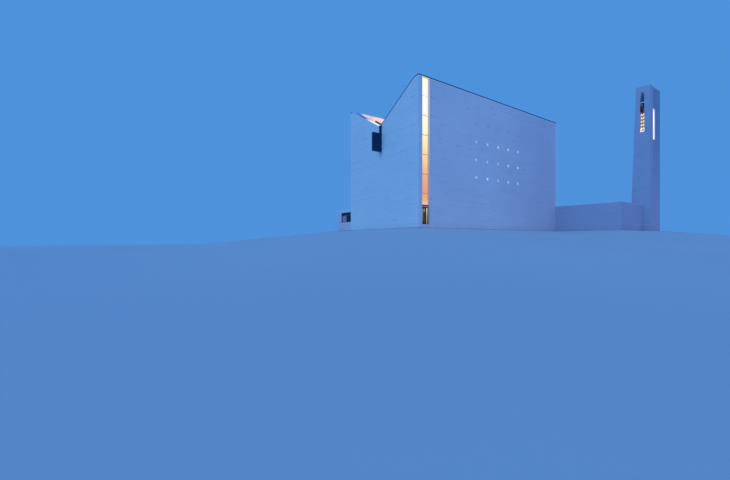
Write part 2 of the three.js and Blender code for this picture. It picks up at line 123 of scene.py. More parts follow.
class Range(NamedTuple):
    """A stretch along one axis."""

    low: float
    high: float

    @classmethod
    def around(cls, middle: float, width: float) -> "Range":
        """The stretch of a width round its middle."""
        return cls(middle - width / 2, middle + width / 2)

    @classmethod
    def off(cls, face: float, way: int, near: float, far: float) -> "Range":
        """The stretch between two distances in front of a face that looks up or down the axis."""
        return cls(*sorted((face + way * near, face + way * far)))

    @property
    def length(self) -> float:
        """How long it is."""
        return self.high - self.low

    @property
    def middle(self) -> float:
        """Its middle."""
        return (self.low + self.high) / 2

    def cut(self, margin: float) -> "Range":
        """The stretch without a margin at both ends."""
        return Range(self.low + margin, self.high - margin)

    def from_low(self, start: float, end: float) -> "Range":
        """A stretch by its distances from the low end."""
        return Range(self.low + start, self.low + end)

    def from_high(self, start: float, end: float) -> "Range":
        """A stretch by its distances from the high end."""
        return Range(self.high + start, self.high + end)


@dataclass(frozen=True)
class Span:
    """The box of a node, by its six sides."""

    left: float
    front: float
    foot: float
    right: float
    back: float
    head: float

    @classmethod
    def of(cls, node: str) -> "Span":
        """The box of a node at rest."""
        low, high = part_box(node)
        return cls(*low, *high)

    @property
    def x(self) -> Range:
        """From its left to its right."""
        return Range(self.left, self.right)

    @property
    def y(self) -> Range:
        """From its front to its back."""
        return Range(self.front, self.back)

    @property
    def z(self) -> Range:
        """From its foot to its head."""
        return Range(self.foot, self.head)


def srgb(red: int, green: int, blue: int) -> Colour:
    """Turns a colour as a screen shows it into a linear one.

    Args:
        red: How red it is, from 0 to 255.
        green: How green it is.
        blue: How blue it is.

    Returns:
        The linear colour, opaque.
    """
    shares = [level / 255 for level in (red, green, blue)]
    linear = [share / 12.92 if share <= 0.04045 else ((share + 0.055) / 1.055) ** 2.4 for share in shares]
    return (*linear, 1.0)


def stops(*rows: tuple[float, int, int, int]) -> Stops:
    """A ramp's stops, each from its place and its colour as a screen shows it."""
    return tuple((place, srgb(*colour)) for place, *colour in rows)


def maths(operation: str, reflected: bool = False) -> Callable[..., "Term"]:
    """Makes an operator that adds one Math node for its values.

    Args:
        operation: The Math node's operation.
        reflected: Whether the other value comes first.

    Returns:
        A method for Term.
    """

    def operate(self: "Term", *others: "Term | float") -> "Term":
        """The operation's result on this value and the other one, if it takes two."""
        values = (*others, self) if reflected else (self, *others)
        return self.shader.node("ShaderNodeMath", {"operation": operation}, dict(enumerate(values)))

    return operate


class Term:
    """A value that varies over a surface: a node's output socket with Python's operators on it."""

    __add__ = maths("ADD")
    __radd__ = maths("ADD", reflected=True)
    __sub__ = maths("SUBTRACT")
    __rsub__ = maths("SUBTRACT", reflected=True)
    __mul__ = maths("MULTIPLY")
    __rmul__ = maths("MULTIPLY", reflected=True)
    __truediv__ = maths("DIVIDE")
    __gt__ = maths("GREATER_THAN")
    __lt__ = maths("LESS_THAN")
    __abs__ = maths("ABSOLUTE")
    floor = maths("FLOOR")
    root = maths("SQRT")

    def __init__(self, shader: "Shader", socket: bpy.types.NodeSocket) -> None:
        """Keeps the socket and the shader that it belongs to."""
        self.shader = shader
        self.socket = socket

    def rise(self, low: float, high: float) -> "Term":
        """Goes smoothly from 0 at low to 1 at high, and stays there."""
        settings = {"interpolation_type": "SMOOTHSTEP", "clamp": True}
        return self.shader.node("ShaderNodeMapRange", settings, {0: self, 1: low, 2: high, 3: 0.0, 4: 1.0})

    def share(self, reach: Range) -> "Term":
        """How far along a stretch this value lies: 0 at its low end and 1 at its high one."""
        return (self - reach.low) / reach.length


class Shader:
    """One material's node tree, built from expressions on its terms.

    place is the point on the piece in metres, and x, y and z are its parts.
    """

    SOCKETS = {
        "colour": "Base Color",
        "roughness": "Roughness",
        "metallic": "Metallic",
        "glow": "Emission Color",
        "strength": "Emission Strength",
        "alpha": "Alpha",
        "normal": "Normal",
        "specular": "Specular IOR Level",
    }

    def __init__(self, name: str) -> None:
        """Starts a material that holds nothing but its place."""
        self.material = bpy.data.materials.new(name)
        self.material.use_nodes = True
        self.tree = self.material.node_tree
        self.tree.nodes.clear()
        self.place = self.node("ShaderNodeTexCoord", output="Object")
        self.x, self.y, self.z = self.split(self.place)

    @cached_property
    def facing(self) -> tuple[Term, Term, Term]:
        """The way the surface faces, in its three parts."""
        return self.split(self.node("ShaderNodeTexCoord", output="Normal"))

    def node(
        self,
        kind: str,
        settings: dict[str, object] | None = None,
        inputs: dict[str | int, "Term | float | Point | Colour"] | None = None,
        output: str | int = 0,
    ) -> Term:
        """Adds one node.

        Args:
            kind: The node's type.
            settings: Its own settings, which are set first. "stops" are a ramp's places and colours.
            inputs: A value or a term for each socket that differs from its default.
            output: The output socket that is wanted.

        Returns:
            That output, as a term.
        """
        made = self.tree.nodes.new(kind)
        for name, value in (settings or {}).items():
            if name == "stops":
                self.set_stops(made.color_ramp, value)
            else:
                setattr(made, name, value)
        for name, value in (inputs or {}).items():
            if isinstance(value, Term):
                self.tree.links.new(value.socket, made.inputs[name])
            else:
                made.inputs[name].default_value = value
        return Term(self, made.outputs[output])

    @staticmethod
    def set_stops(ramp: bpy.types.ColorRamp, wanted: Stops) -> None:
        """Sets a ramp's stops, from left to right.

        Args:
            ramp: The ramp, with its first two stops.
            wanted: The stops that it should have.
        """
        while len(ramp.elements) < len(wanted):
            ramp.elements.new(1.0)
        for element, (place, colour) in zip(ramp.elements, wanted):
            element.position = place
            element.color = colour

    def split(self, vector: Term) -> tuple[Term, Term, Term]:
        """The three parts of a vector."""
        parts = self.node("ShaderNodeSeparateXYZ", inputs={0: vector}).socket.node.outputs
        return tuple(Term(self, part) for part in parts)

    def point(self, x: Term | float, y: Term | float, z: Term | float) -> Term:
        """A vector from three parts."""
        return self.node("ShaderNodeCombineXYZ", inputs={0: x, 1: y, 2: z})

    def noise(self, vector: Term, scale: float, detail: float = 3.0, roughness: float = 0.5) -> Term:
        """Soft noise from 0 to 1."""
        inputs = {"Vector": vector, "Scale": scale, "Detail": detail, "Roughness": roughness}
        return self.node("ShaderNodeTexNoise", inputs=inputs)

    def streaks(self, times: Point, detail: float, roughness: float = 0.5) -> Term:
        """Soft noise drawn out along the axes, by its scale on each of them."""
        stretched = self.point(self.x * times[0], self.y * times[1], self.z * times[2])
        return self.noise(stretched, 1.0, detail, roughness)

    def mix(self, share: Term | float, first: Term | Colour, second: Term | Colour) -> Term:
        """A colour that goes from the first to the second as the share goes from 0 to 1."""
        settings = {"data_type": "RGBA", "clamp_factor": True}
        return self.node("ShaderNodeMix", settings, {0: share, 6: first, 7: second}, output=2)

    def ramp(self, share: Term, wanted: Stops) -> Term:
        """The colour that a ramp has at a share from 0 to 1."""
        return self.node("ShaderNodeValToRGB", {"stops": wanted}, {0: share})

    def relief(self, height: Term, depth: float, strength: float = 1.0) -> Term:
        """A bump in metres from a height of 0 to 1."""
        return self.node("ShaderNodeBump", inputs={"Height": height, "Distance": depth, "Strength": strength})

    def surface(self, **values: Term | float | Colour) -> None:
        """Ends the material in one surface.

        Args:
            **values: The surface's values, named as in SOCKETS.
        """
        inputs = {self.SOCKETS[name]: value for name, value in values.items()}
        ending = self.node("ShaderNodeBsdfPrincipled", inputs=inputs)
        output = self.tree.nodes.new("ShaderNodeOutputMaterial")
        self.tree.links.new(ending.socket, output.inputs["Surface"])


@dataclass(frozen=True)
class Finish:
    """A finish that one material shows. Each kind has its own recipe."""

    name: str

    def recipe(self, shader: Shader) -> None:
        """Builds the finish's nodes.

        Args:
            shader: The material that they go into.
        """
        raise NotImplementedError

    def material(self) -> bpy.types.Material:
        """The finish's material, built the first time it is asked for."""
        made = bpy.data.materials.get(self.name)
        if made is None:
            shader = Shader(self.name)
            self.recipe(shader)
            made = shader.material
        return made


@dataclass(frozen=True)
class Courses:
    """Blocks or slabs laid in rows: their size, the joint between them and how far each row is offset."""

    width: float
    height: float
    joint: float
    offset: float = 0.5

    def laid(self, shader: Shader, wall: Term) -> tuple[Term, Term]:
        """Lays the blocks over a flat vector.

        Args:
            shader: The material.
            wall: The vector.

        Returns:
            A tone from 0 to 1 that each block keeps, and 1 in the joints.
        """
        bond = {"offset": self.offset, "offset_frequency": 2, "squash": 1.0}
        inputs = {
            "Vector": wall, "Scale": 1.0, "Mortar Size": self.joint, "Mortar Smooth": 0.4,
            "Brick Width": self.width, "Row Height": self.height,
            "Color1": BLACK, "Color2": WHITE, "Mortar": GREY,
        }
        tone = shader.node("ShaderNodeTexBrick", bond, inputs, output="Color")
        joint = shader.node("ShaderNodeTexBrick", bond, inputs, output="Fac")
        return tone, joint


@dataclass(frozen=True)
class Stain:
    """A soft run of rainwater down the near gable."""

    middle: float
    half_width: float
    top: float
    length: float
    share: float
    tone: Colour = srgb(96, 108, 130)

    def over(self, shader: Shader, colour: Term) -> Term:
        """Lays the stain over the wall.

        Args:
            shader: The material.
            colour: The wall's colour.

        Returns:
            The stained colour.
        """
        gable = shader.facing[Axis.X.value] < -0.5
        inside = 1.0 - abs(shader.y - self.middle).rise(self.half_width * 0.3, self.half_width)
        below = shader.z.rise(self.top - self.length, self.top) * (shader.z < self.top + 0.02)
        return shader.mix(inside * below * gable * self.share, colour, self.tone)


@dataclass(frozen=True)
class PaintedShade:
    """Painted shade: the paint darkens along an axis, from none of the dark tone at start to its whole share
    at end.
    """

    axis: Axis
    start: float
    end: float
    tone: Colour
    share: float

    def over(self, shader: Shader, colour: Term) -> Term:
        """The wall's colour, under the painted shade."""
        along = (shader.x, shader.y, shader.z)[self.axis.value]
        return shader.mix(along.rise(self.start, self.end) * self.share, colour, self.tone)


@dataclass(frozen=True)
class Reveal:
    """A wall's narrow side face beside lit panes: where it stands, and the panes' light painted on it."""

    run: Range
    rise: Range
    dim: Colour = srgb(214, 214, 222)
    lit: Colour = srgb(206, 186, 204)
    # How strongly the painted light glows
    painted_glow: float = 0.2

    def over(self, shader: Shader, colour: Term) -> tuple[Term, Term]:
        """Gives the reveal its own colour and its painted light.

        Args:
            shader: The material.
            colour: The wall's colour.

        Returns:
            The wall's colour with the reveal's own, and the painted light on the reveal.
        """
        inside = (shader.facing[Axis.X.value] < -0.5) * (shader.x > self.run.low) * (shader.x < self.run.high)
        level = shader.z.rise(*self.rise)
        side = shader.mix(level, self.dim, self.lit)
        return shader.mix(inside, colour, side), shader.mix(inside * level, BLACK, side)


@dataclass(frozen=True)
class BlockWall(Finish):
    """White paint over coursed blocks, with darker dashes along the courses as painted shadow lines, and
    darker at its foot.
    """

    paint: Colour = srgb(238, 241, 246)
    shade: Colour = srgb(192, 199, 213)
    cap: Colour = srgb(168, 173, 184)
    blocks: Courses = Courses(0.2, 0.1, 0.005)
    # Real stains, and painted shade that darkens the paint along an axis
    marks: tuple[Stain | PaintedShade, ...] = ()
    reveal: Reveal | None = None

    def recipe(self, shader: Shader) -> None:
        """Blocks in half bond on the walls, and plain weathered paint on level faces."""
        across, forward, up = shader.facing
        run = shader.x * (abs(forward) > 0.5) + shader.y * (abs(across) > 0.5)
        tone, joint = self.blocks.laid(shader, shader.point(run, shader.z, 0.0))
        course = (shader.z / self.blocks.height).floor()
        # Darker dashes along the courses are painted shadow lines, as under blocks that stand a little proud
        painted_shadow_dashes = shader.noise(shader.point(run * 0.8, course * 3.7, 0.0), 1.0, 2.0, 0.4)
        bands = shader.noise(shader.point(run * 0.2, course * 0.9, 5.0), 1.0, 2.0)
        clouds = shader.noise(shader.place, 0.3, 2.0)
        runs = shader.noise(shader.point(run * 5.0, shader.z * 0.25, 3.0), 1.0, 3.0)
        grain = shader.noise(shader.place, 60.0, 2.0)
        foot = 1.0 - shader.z.rise(0.0, 0.45)
        worn = tone * 0.08 + painted_shadow_dashes.rise(0.64, 0.74) * 0.3 + bands.rise(0.45, 0.75) * 0.14 + joint * 0.25
        worn = worn + clouds.rise(0.35, 0.7) * 0.12 + runs.rise(0.55, 0.8) * 0.08 + foot * runs * 0.4
        colour = shader.mix(worn, self.paint, self.shade)
        # Stains, then painted shade along an axis
        for mark in self.marks:
            colour = mark.over(shader, colour)
        colour = shader.mix((up > 0.7) * 0.8, colour, self.cap)
        painted_reveal_light = {}
        # The reveal's colour and glow are painted light from the lit panes beside it
        if self.reveal is not None:
            colour, glow = self.reveal.over(shader, colour)
            painted_reveal_light = {"glow": glow, "strength": self.reveal.painted_glow}
        shader.surface(
            colour=colour,
            roughness=0.74 + painted_shadow_dashes * 0.14,
            normal=shader.relief((1.0 - joint) * 0.8 + grain * 0.14 + painted_shadow_dashes * 0.06, 0.003),
            specular=0.35,
            **painted_reveal_light,
        )


@dataclass(frozen=True)
class Stone(Finish):
    """Trowelled concrete laid in slabs, with fine pores and a little staining."""

    light: Colour = srgb(206, 206, 204)
    dark: Colour = srgb(156, 156, 155)
    slabs: Courses = Courses(0.3, 0.3, 0.003, 0.0)

    def recipe(self, shader: Shader) -> None:
        """Square slabs with a slightly different tone each."""
        tone, joint = self.slabs.laid(shader, shader.point(shader.x, shader.y, 0.0))
        clouds = shader.noise(shader.place, 3.0, 5.0, 0.6)
        pores = shader.noise(shader.place, 90.0, 2.0)
        worn = tone * 0.2 + clouds.rise(0.35, 0.7) * 0.6 + joint * 0.5
        shader.surface(
            colour=shader.mix(worn, self.light, self.dark),
            roughness=0.6 + clouds * 0.25,
            normal=shader.relief((1.0 - joint) + pores * 0.2, 0.002),
        )


@dataclass(frozen=True)
class SheetMetal(Finish):
    """Painted or anodised sheet: faint rain marks down it, slight waviness and a soft sheen."""

    colour: Colour
    worn: Colour
    roughness: float = 0.4
    metallic: float = 0.0
    marks: float = 0.5
    specular: float = 0.4

    def recipe(self, shader: Shader) -> None:
        """Rain marks run down the sheet, and dust lies in soft clouds."""
        marks = shader.streaks(RAIN_STREAKS, 4.0, 0.55)
        clouds = shader.noise(shader.place, 2.2, 3.0)
        grain = shader.noise(shader.place, 140.0, 2.0)
        share = marks.rise(0.4, 0.75) * self.marks + clouds.rise(0.45, 0.8) * self.marks * 0.6
        shader.surface(
            colour=shader.mix(share, self.colour, self.worn),
            roughness=self.roughness + marks * 0.18,
            metallic=self.metallic,
            normal=shader.relief(clouds * 0.9 + grain * 0.1, 0.003, 0.6),
            specular=self.specular,
        )


@dataclass(frozen=True)
class GradedMetal(Finish):
    """Metal with painted light and shade: its tone goes with its height, and it glows with the painted light
    of the lit panes beside it.
    """

    reach: Range
    stops: Stops
    # How much of the tone is painted glow
    painted_glow: float
    worn: Colour = srgb(126, 120, 118)

    def recipe(self, shader: Shader) -> None:
        """A ramp of painted light and shade up the height under faint rain marks, partly as painted glow."""
        marks = shader.streaks(RAIN_STREAKS, 4.0, 0.55)
        tone = shader.ramp(shader.z.share(self.reach), self.stops)
        tone = shader.mix(marks.rise(0.45, 0.8) * 0.2, tone, self.worn)
        shader.surface(
            colour=shader.mix(self.painted_glow, tone, BLACK),
            roughness=0.42 + marks * 0.18,
            glow=tone,
            strength=self.painted_glow,
            normal=shader.relief(marks, 0.002, 0.4),
            specular=0.3,
        )


@dataclass(frozen=True)
class RoofSheet(Finish):
    """Matt roofing sheet outside, and pale boarding on the side that faces the hall."""

    sheet: Colour = srgb(112, 119, 131)
    dust: Colour = srgb(150, 156, 165)
    boarding: Colour = srgb(216, 208, 196)
    board_edge: Colour = srgb(120, 104, 84)
    board: float = 0.06

    def recipe(self, shader: Shader) -> None:
        """Dust drifts across the sheet, and boards run along the hall's ceiling."""
        drift = shader.streaks((0.6, 3.0, 3.0), 4.0, 0.6)
        flecks = shader.noise(shader.place, 40.0, 3.0)
        boards = shader.y / self.board
        edge = abs(boards - boards.floor() - 0.5).rise(0.46, 0.5)
        ceiling = shader.mix(edge * 0.7 + flecks * 0.15, self.boarding, self.board_edge)
        sheet = shader.mix(drift.rise(0.35, 0.7) * 0.7 + flecks * 0.15, self.sheet, self.dust)
        below = shader.facing[Axis.Z.value] < -0.2
        shader.surface(
            colour=shader.mix(below, sheet, ceiling),
            roughness=0.55 + drift * 0.2,
            normal=shader.relief(drift + flecks * 0.2 - edge * below, 0.003, 0.5),
        )


@dataclass(frozen=True)
class Glow(Finish):
    """Frosted glass lit from inside, with its colour going from one end of its reach to the other."""

    reach: Range
    stops: Stops
    strength: float = 1.0
    roughness: float = 0.22
    flecks: float = 0.05

    def recipe(self, shader: Shader) -> None:
        """A ramp along the reach, with a little unevenness in the lit surface."""
        cloud = shader.noise(shader.place, 2.4, 3.0)
        light = self.light(shader, (cloud - 0.5) * self.flecks)
        shader.surface(
            colour=shader.mix(0.94, light, BLACK),
            roughness=self.roughness + cloud * 0.1,
            glow=light,
            strength=self.strength,
            normal=shader.relief(shader.noise(shader.place, 30.0, 2.0), 0.0008, 0.4),
        )

    def light(self, shader: Shader, uneven: Term) -> Term:
        """The light's colour by the height."""
        return shader.ramp(shader.z.share(self.reach) + uneven, self.stops)


@dataclass(frozen=True)
class RoofGlow(Glow):
    """The rooflight's light: it goes aslant from the near gable, with a painted shadow of a beam behind the
    glass's foot.
    """

    near: float = 0.0
    slant: float = 1.34
    painted_beam_shadow: Colour = srgb(74, 16, 22)
    beam_shadow_depth: Range = Range(0.5, 0.65)
    beam_shadow_reach: Range = Range(0.8, 1.0)

    def light(self, shader: Shader, uneven: Term) -> Term:
        """The light's colour, under the painted shadow of the beam.

        Args:
            shader: The material.
            uneven: What is added to the share along the reach.

        Returns:
            The colour.
        """
        away = shader.x - self.near
        aslant = shader.y - self.reach.low - away * self.slant
        lit = shader.ramp(aslant / self.reach.length + uneven, self.stops)
        # Painted shadow of a beam that stands behind the glass
        behind = (1.0 - away.rise(*self.beam_shadow_depth)) * (1.0 - aslant.rise(*self.beam_shadow_reach))
        return shader.mix(behind, lit, self.painted_beam_shadow)


@dataclass(frozen=True)
class DarkPane(Finish):
    """Clear glass with an unlit room behind it, and a pale blind behind one part of it."""

    tint: Colour = srgb(10, 16, 28)
    haze: Colour = srgb(46, 60, 84)
    blind: Colour = srgb(158, 166, 178)
    fold: Colour = srgb(166, 140, 182)
    blind_from: float | None = None
    blind_top: float = 0.0

    def recipe(self, shader: Shader) -> None:
        """Faint clouds stand for what shows through, and the blind hangs in straight folds."""
        clouds = shader.noise(shader.place, 1.6, 3.0)
        colour = shader.mix(clouds.rise(0.45, 0.8) * 0.6, self.tint, self.haze)
        if self.blind_from is not None:
            folds = shader.noise(shader.point(shader.y * 28.0, 0.0, shader.z * 0.6), 1.0, 2.0)
            inner = 1.0 - shader.y.rise(self.blind_from, self.blind_from + 0.35)
            shaded = shader.mix(folds.rise(0.3, 0.7) * 0.3 + inner * 0.6, self.blind, self.fold)
            behind = (shader.y > self.blind_from) * (shader.z < self.blind_top)
            colour = shader.mix(behind, colour, shaded)
        shader.surface(colour=colour, roughness=0.06 + clouds * 0.06, specular=0.25)


@dataclass(frozen=True)
class SmallPane(Finish):
    """The long walls' small panes, all glowing with painted light: a dim dusk glow on the top row, and a
    faint room glow on the rows below.
    """

    pitch: float
    first_x: float
    dark_from: float
    dark: Colour = srgb(150, 160, 184)
    unlit: Colour = srgb(130, 138, 156)
    painted_dusk_glow: Colour = srgb(78, 108, 166)
    lit: Colour = srgb(208, 228, 255)
    lilac: Colour = srgb(206, 210, 250)

    def recipe(self, shader: Shader) -> None:
        """Every pane keeps one brightness and one tint of its own in its painted glow."""
        column = ((shader.x - self.first_x) / self.pitch).floor()
        row = (shader.z / self.pitch).floor()
        pane = shader.point(column, row, 7.0)
        own = shader.node("ShaderNodeTexWhiteNoise", {"noise_dimensions": "3D"}, {0: pane})
        level = (shader.z < self.dark_from) * (0.45 + own * 0.55)
        grain = shader.noise(shader.place, 30.0, 2.0)
        shader.surface(
            colour=shader.mix(level, self.dark, self.unlit),
            roughness=0.15 + grain * 0.1,
            glow=shader.mix(level, self.painted_dusk_glow, shader.mix(own, self.lit, self.lilac)),
            strength=0.75,
            normal=shader.relief(grain, 0.0005, 0.4),
        )


@dataclass(frozen=True)
class VergeEdge(Finish):
    """A light metal edge with painted light: a painted glow near the valley, painted shade beside the
    rooflight's glass, and pale further up.
    """

    bright: Colour = srgb(250, 246, 250)
    dull: Colour = srgb(150, 150, 198)
    pale: Colour = srgb(198, 214, 234)
    worn: Colour = srgb(110, 118, 134)
    dims: Range = Range(1.0, 2.0)
    pales: Range = Range(2.6, 3.1)

    def recipe(self, shader: Shader) -> None:
        """The painted glow fades up the slope into the painted shade, and rain marks lie over it all."""
        marks = shader.noise(shader.point(shader.y * 10.0, shader.z, 0.0), 1.0, 3.0)
        near = 1.0 - shader.y.rise(*self.dims)
        beyond = shader.mix(shader.y.rise(*self.pales), self.dull, self.pale)
        colour = shader.mix(near, beyond, self.bright)
        shader.surface(
            colour=shader.mix(marks.rise(0.5, 0.8) * 0.25, colour, self.worn),
            roughness=0.4 + marks * 0.15,
            glow=shader.mix(near, BLACK, self.bright),
            strength=0.7,
            normal=shader.relief(marks, 0.002, 0.5),
        )


@dataclass(frozen=True)
class Bronze(Finish):
    """Cast bell bronze, bright where it is struck and brown with age elsewhere, with an even painted glow in
    its own colour.
    """

    metal: Colour
    age: Colour
    # How strongly it glows in its own colour, as painted light
    painted_glow: float = 0.0

    def recipe(self, shader: Shader) -> None:
        """Age lies in clouds over turned rings, and the metal glows evenly in its own colour as painted
        light.
        """
        clouds = shader.noise(shader.place, 14.0, 4.0, 0.6)
        rings = shader.noise(shader.point(0.0, 0.0, shader.z * 160.0), 1.0, 2.0)
        aged = clouds.rise(0.48, 0.7)
        colour = shader.mix(aged * 0.7, self.metal, self.age)
        shader.surface(
            colour=colour,
            metallic=0.9 - aged * 0.4,
            roughness=0.28 + aged * 0.3,
            glow=colour,
            strength=self.painted_glow,
            normal=shader.relief(rings + clouds, 0.0006, 0.5),
        )


@dataclass(frozen=True)
class BoardedDoor(Finish):
    """Dark oiled boards with upright grain, a painted golden sheen of the lit strip's light beside it, and
    wear towards the foot.
    """

    board: Colour = srgb(62, 46, 26)
    grain: Colour = srgb(30, 24, 18)
    worn: Colour = srgb(104, 88, 66)
    # The painted sheen's colour, and where along the leaf it rises
    painted_sheen: Colour = srgb(84, 56, 16)
    painted_sheen_run: Range = Range(-7.3, -7.16)

    def recipe(self, shader: Shader) -> None:
        """Grain runs up the boards, and the foot is scuffed."""
        grain = shader.streaks((90.0, 90.0, 3.0), 5.0, 0.65)
        scuffs = shader.streaks((6.0, 6.0, 6.0), 4.0)
        foot = (1.0 - shader.z.rise(0.2, 0.55)) * scuffs.rise(0.5, 0.75)
        colour = shader.mix(grain.rise(0.3, 0.7), self.board, self.grain)
        shader.surface(
            colour=shader.mix(foot * 0.6, colour, self.worn),
            roughness=0.38 + grain * 0.25,
            # The golden glow beside the lit strip is a painted sheen
            glow=shader.mix(shader.x.rise(*self.painted_sheen_run) * (0.6 + grain * 0.4), BLACK, self.painted_sheen),
            strength=0.9,
            normal=shader.relief(grain, 0.001, 0.6),
            specular=0.3,
        )


@dataclass(frozen=True)
class Rubber(Finish):
    """Black gasket rubber with a grey bloom."""

    black: Colour = srgb(20, 21, 23)
    bloom: Colour = srgb(52, 54, 58)

    def recipe(self, shader: Shader) -> None:
        """The bloom lies in fine clouds."""
        bloom = shader.noise(shader.place, 40.0, 4.0)
        shader.surface(
            colour=shader.mix(bloom.rise(0.4, 0.8), self.black, self.bloom),
            roughness=0.7 + bloom * 0.2,
            normal=shader.relief(bloom, 0.0005, 0.4),
        )


@dataclass(frozen=True)
class StageFloor(Finish):
    """The plain pale floor, which fades out far from the church."""

    pale: Colour = srgb(214, 218, 224)
    mottled: Colour = srgb(206, 211, 219)
    fades: Range = Range(30.0, 72.0)

    def recipe(self, shader: Shader) -> None:
        """A faint mottle, and a soft end with the distance from the middle."""
        away = (shader.x * shader.x + shader.y * shader.y).root()
        shader.surface(
            colour=shader.mix(shader.noise(shader.place, 0.15, 2.0), self.pale, self.mottled),
            roughness=0.9,
            specular=0.1,
            alpha=1.0 - away.rise(*self.fades),
        )


# The lit panes' colours, and the painted light and shade on the metals beside them, from one end to the other
SLOT_STOPS = stops(
    (0.0, 238, 196, 166), (0.05, 236, 166, 116), (0.1, 226, 158, 116), (0.22, 230, 172, 130),
    (0.38, 246, 212, 152), (0.55, 250, 240, 188), (0.7, 255, 253, 232), (0.86, 255, 255, 246),
    (1.0, 253, 252, 220),
)
BAR_STOPS = stops(
    (0.09, 186, 126, 84), (0.25, 160, 118, 96), (0.4, 150, 126, 104), (0.55, 142, 132, 110),
    (0.7, 128, 128, 124), (0.86, 204, 204, 196),
)
SOFFIT_STOPS = stops((0.0, 190, 194, 170), (1.0, 160, 166, 150))
TRANSOM_STOPS = stops((0.0, 48, 32, 40), (0.6, 74, 46, 52), (1.0, 118, 72, 70))
STRIP_STOPS = stops((0.0, 132, 98, 118), (1.0, 158, 118, 136))
SIDELIGHT_STOPS = stops(
    (0.0, 140, 140, 104), (0.5, 190, 186, 128), (0.85, 240, 234, 194), (1.0, 250, 244, 214),
)
ROOFLIGHT_STOPS = stops(
    (0.0, 242, 196, 152), (0.12, 255, 206, 170), (0.3, 242, 206, 144), (0.45, 232, 164, 172),
    (0.6, 206, 192, 204), (0.75, 206, 194, 222), (0.86, 140, 134, 198), (0.94, 92, 134, 206),
)
PANEL_STOPS = stops(
    (0.0, 96, 62, 56), (0.08, 176, 150, 112), (0.5, 164, 138, 108), (0.92, 176, 156, 132),
    (0.97, 96, 76, 76), (1.0, 44, 34, 48),
)
SLOT_SHADE_STOPS = stops((0.0, 34, 26, 48), (0.4, 44, 36, 62), (0.7, 78, 94, 128), (1.0, 92, 112, 150))
LOUVRE_STOPS = stops((0.0, 22, 54, 106), (0.35, 44, 88, 152), (0.7, 82, 124, 188), (1.0, 116, 154, 212))
LIGHT_SLOT_STOPS = stops(
    (0.0, 236, 240, 255), (0.6, 252, 253, 255), (0.88, 242, 246, 255), (0.96, 206, 218, 250),
    (1.0, 150, 170, 226),
)
VISION_STOPS = stops((0.0, 112, 90, 66), (0.4, 190, 164, 136), (1.0, 216, 194, 168))
SIDE_PANE_STOPS = stops((0.0, 70, 78, 66), (0.6, 98, 110, 96), (1.0, 120, 136, 124))
SILL_STOPS = stops((0.0, 244, 226, 240), (1.0, 252, 240, 252))

RAIN_STAIN = Stain(middle=-0.06, half_width=0.24, top=5.275, length=0.62, share=0.34)
WALL = BlockWall("painted_block_wall", marks=(RAIN_STAIN,))
# The long wall darkens towards its far end as painted shade, and its reveal carries painted light from the
# slot
LONG_WALL = BlockWall(
    "painted_long_wall",
    marks=(PaintedShade(Axis.X, -2.0, 6.5, srgb(150, 149, 188), 0.25),),
    reveal=Reveal(Range(-6.92, -6.89), Range(2.5, 8.4)),
)
# A pinker copy of the wall paint for the wing: a painted tint of the light on it
WING_WALL_PAINTED_LIGHT = BlockWall("painted_wing_wall", srgb(237, 222, 232), srgb(191, 184, 202))
TOWER_WALL = BlockWall("painted_tower_wall", srgb(192, 194, 217), srgb(162, 164, 188), srgb(150, 152, 166))
# The tower's front turns darker and bluer up its height as painted shade
TOWER_FRONT = BlockWall(
    "painted_tower_front", TOWER_WALL.paint, TOWER_WALL.shade, TOWER_WALL.cap,
    marks=(PaintedShade(Axis.Z, 0.5, 10.0, srgb(30, 132, 160), 0.4),),
)
FLOOR = Stone("trowelled_floor")
STEEL = SheetMetal("dark_steel", srgb(28, 36, 50), srgb(52, 62, 78), 0.42, 0.1)
WING_STEEL = SheetMetal("grey_window_steel", srgb(112, 118, 134), srgb(84, 92, 110), 0.45)
HOPPER_STEEL = SheetMetal("hopper_steel", srgb(10, 58, 90), srgb(22, 64, 102), 0.55, marks=0.6, specular=0.12)
TRIM = SheetMetal("edge_trim", srgb(26, 48, 86), srgb(46, 70, 108), 0.5, 0.1, specular=0.3)
CHAMPAGNE = SheetMetal("champagne_frame", srgb(196, 182, 162), srgb(168, 152, 132), 0.4, 0.3, marks=0.4)
ANODISED = SheetMetal("anodised_bar", srgb(196, 203, 214), srgb(150, 158, 170), 0.3, 0.7, marks=0.35)
WHITE_METAL = SheetMetal("white_coated_sheet", srgb(234, 238, 244), srgb(200, 206, 216), 0.45, marks=0.3)
BRUSHED = SheetMetal("brushed_steel", srgb(190, 188, 184), srgb(140, 138, 132), 0.25, 0.9, marks=0.3)
BRASS = SheetMetal("aged_brass", srgb(150, 118, 66), srgb(98, 76, 46), 0.32, 0.8, marks=0.6)
KICK_METAL = SheetMetal("bronzed_kick_plate", srgb(70, 56, 42), srgb(96, 80, 62), 0.4, 0.4, marks=0.6)
ROOFING = RoofSheet("seamed_roof_sheet")
RUBBER = Rubber("gasket_rubber")
DOOR_BOARDS = BoardedDoor("oiled_door_boards")
# The small bells glow in their own colour: painted light from the lamp under them
BELL_BRONZE = Bronze("bell_bronze", srgb(246, 230, 194), srgb(118, 82, 44), painted_glow=0.8)
# A darker copy of the bell bronze for the large bell: painted shade for the slot's dim part, over the
# bronze's own clouds of age
SHADED_BELL_BRONZE = Bronze("aged_bell_bronze", srgb(108, 112, 98), srgb(58, 62, 60))
DARK_GLASS = DarkPane("unlit_pane")


# A modeller's bench: primitives set out at their size, and shaped with edit-mode tools


def take(*parts: Part) -> None:
    """Selects only these parts, with the first one active.

    Args:
        *parts: The parts, or none to clear the selection.
    """
    bpy.ops.object.select_all(action="DESELECT")
    for part in parts:
        part.select_set(True)
    if parts:
        bpy.context.view_layer.objects.active = parts[0]


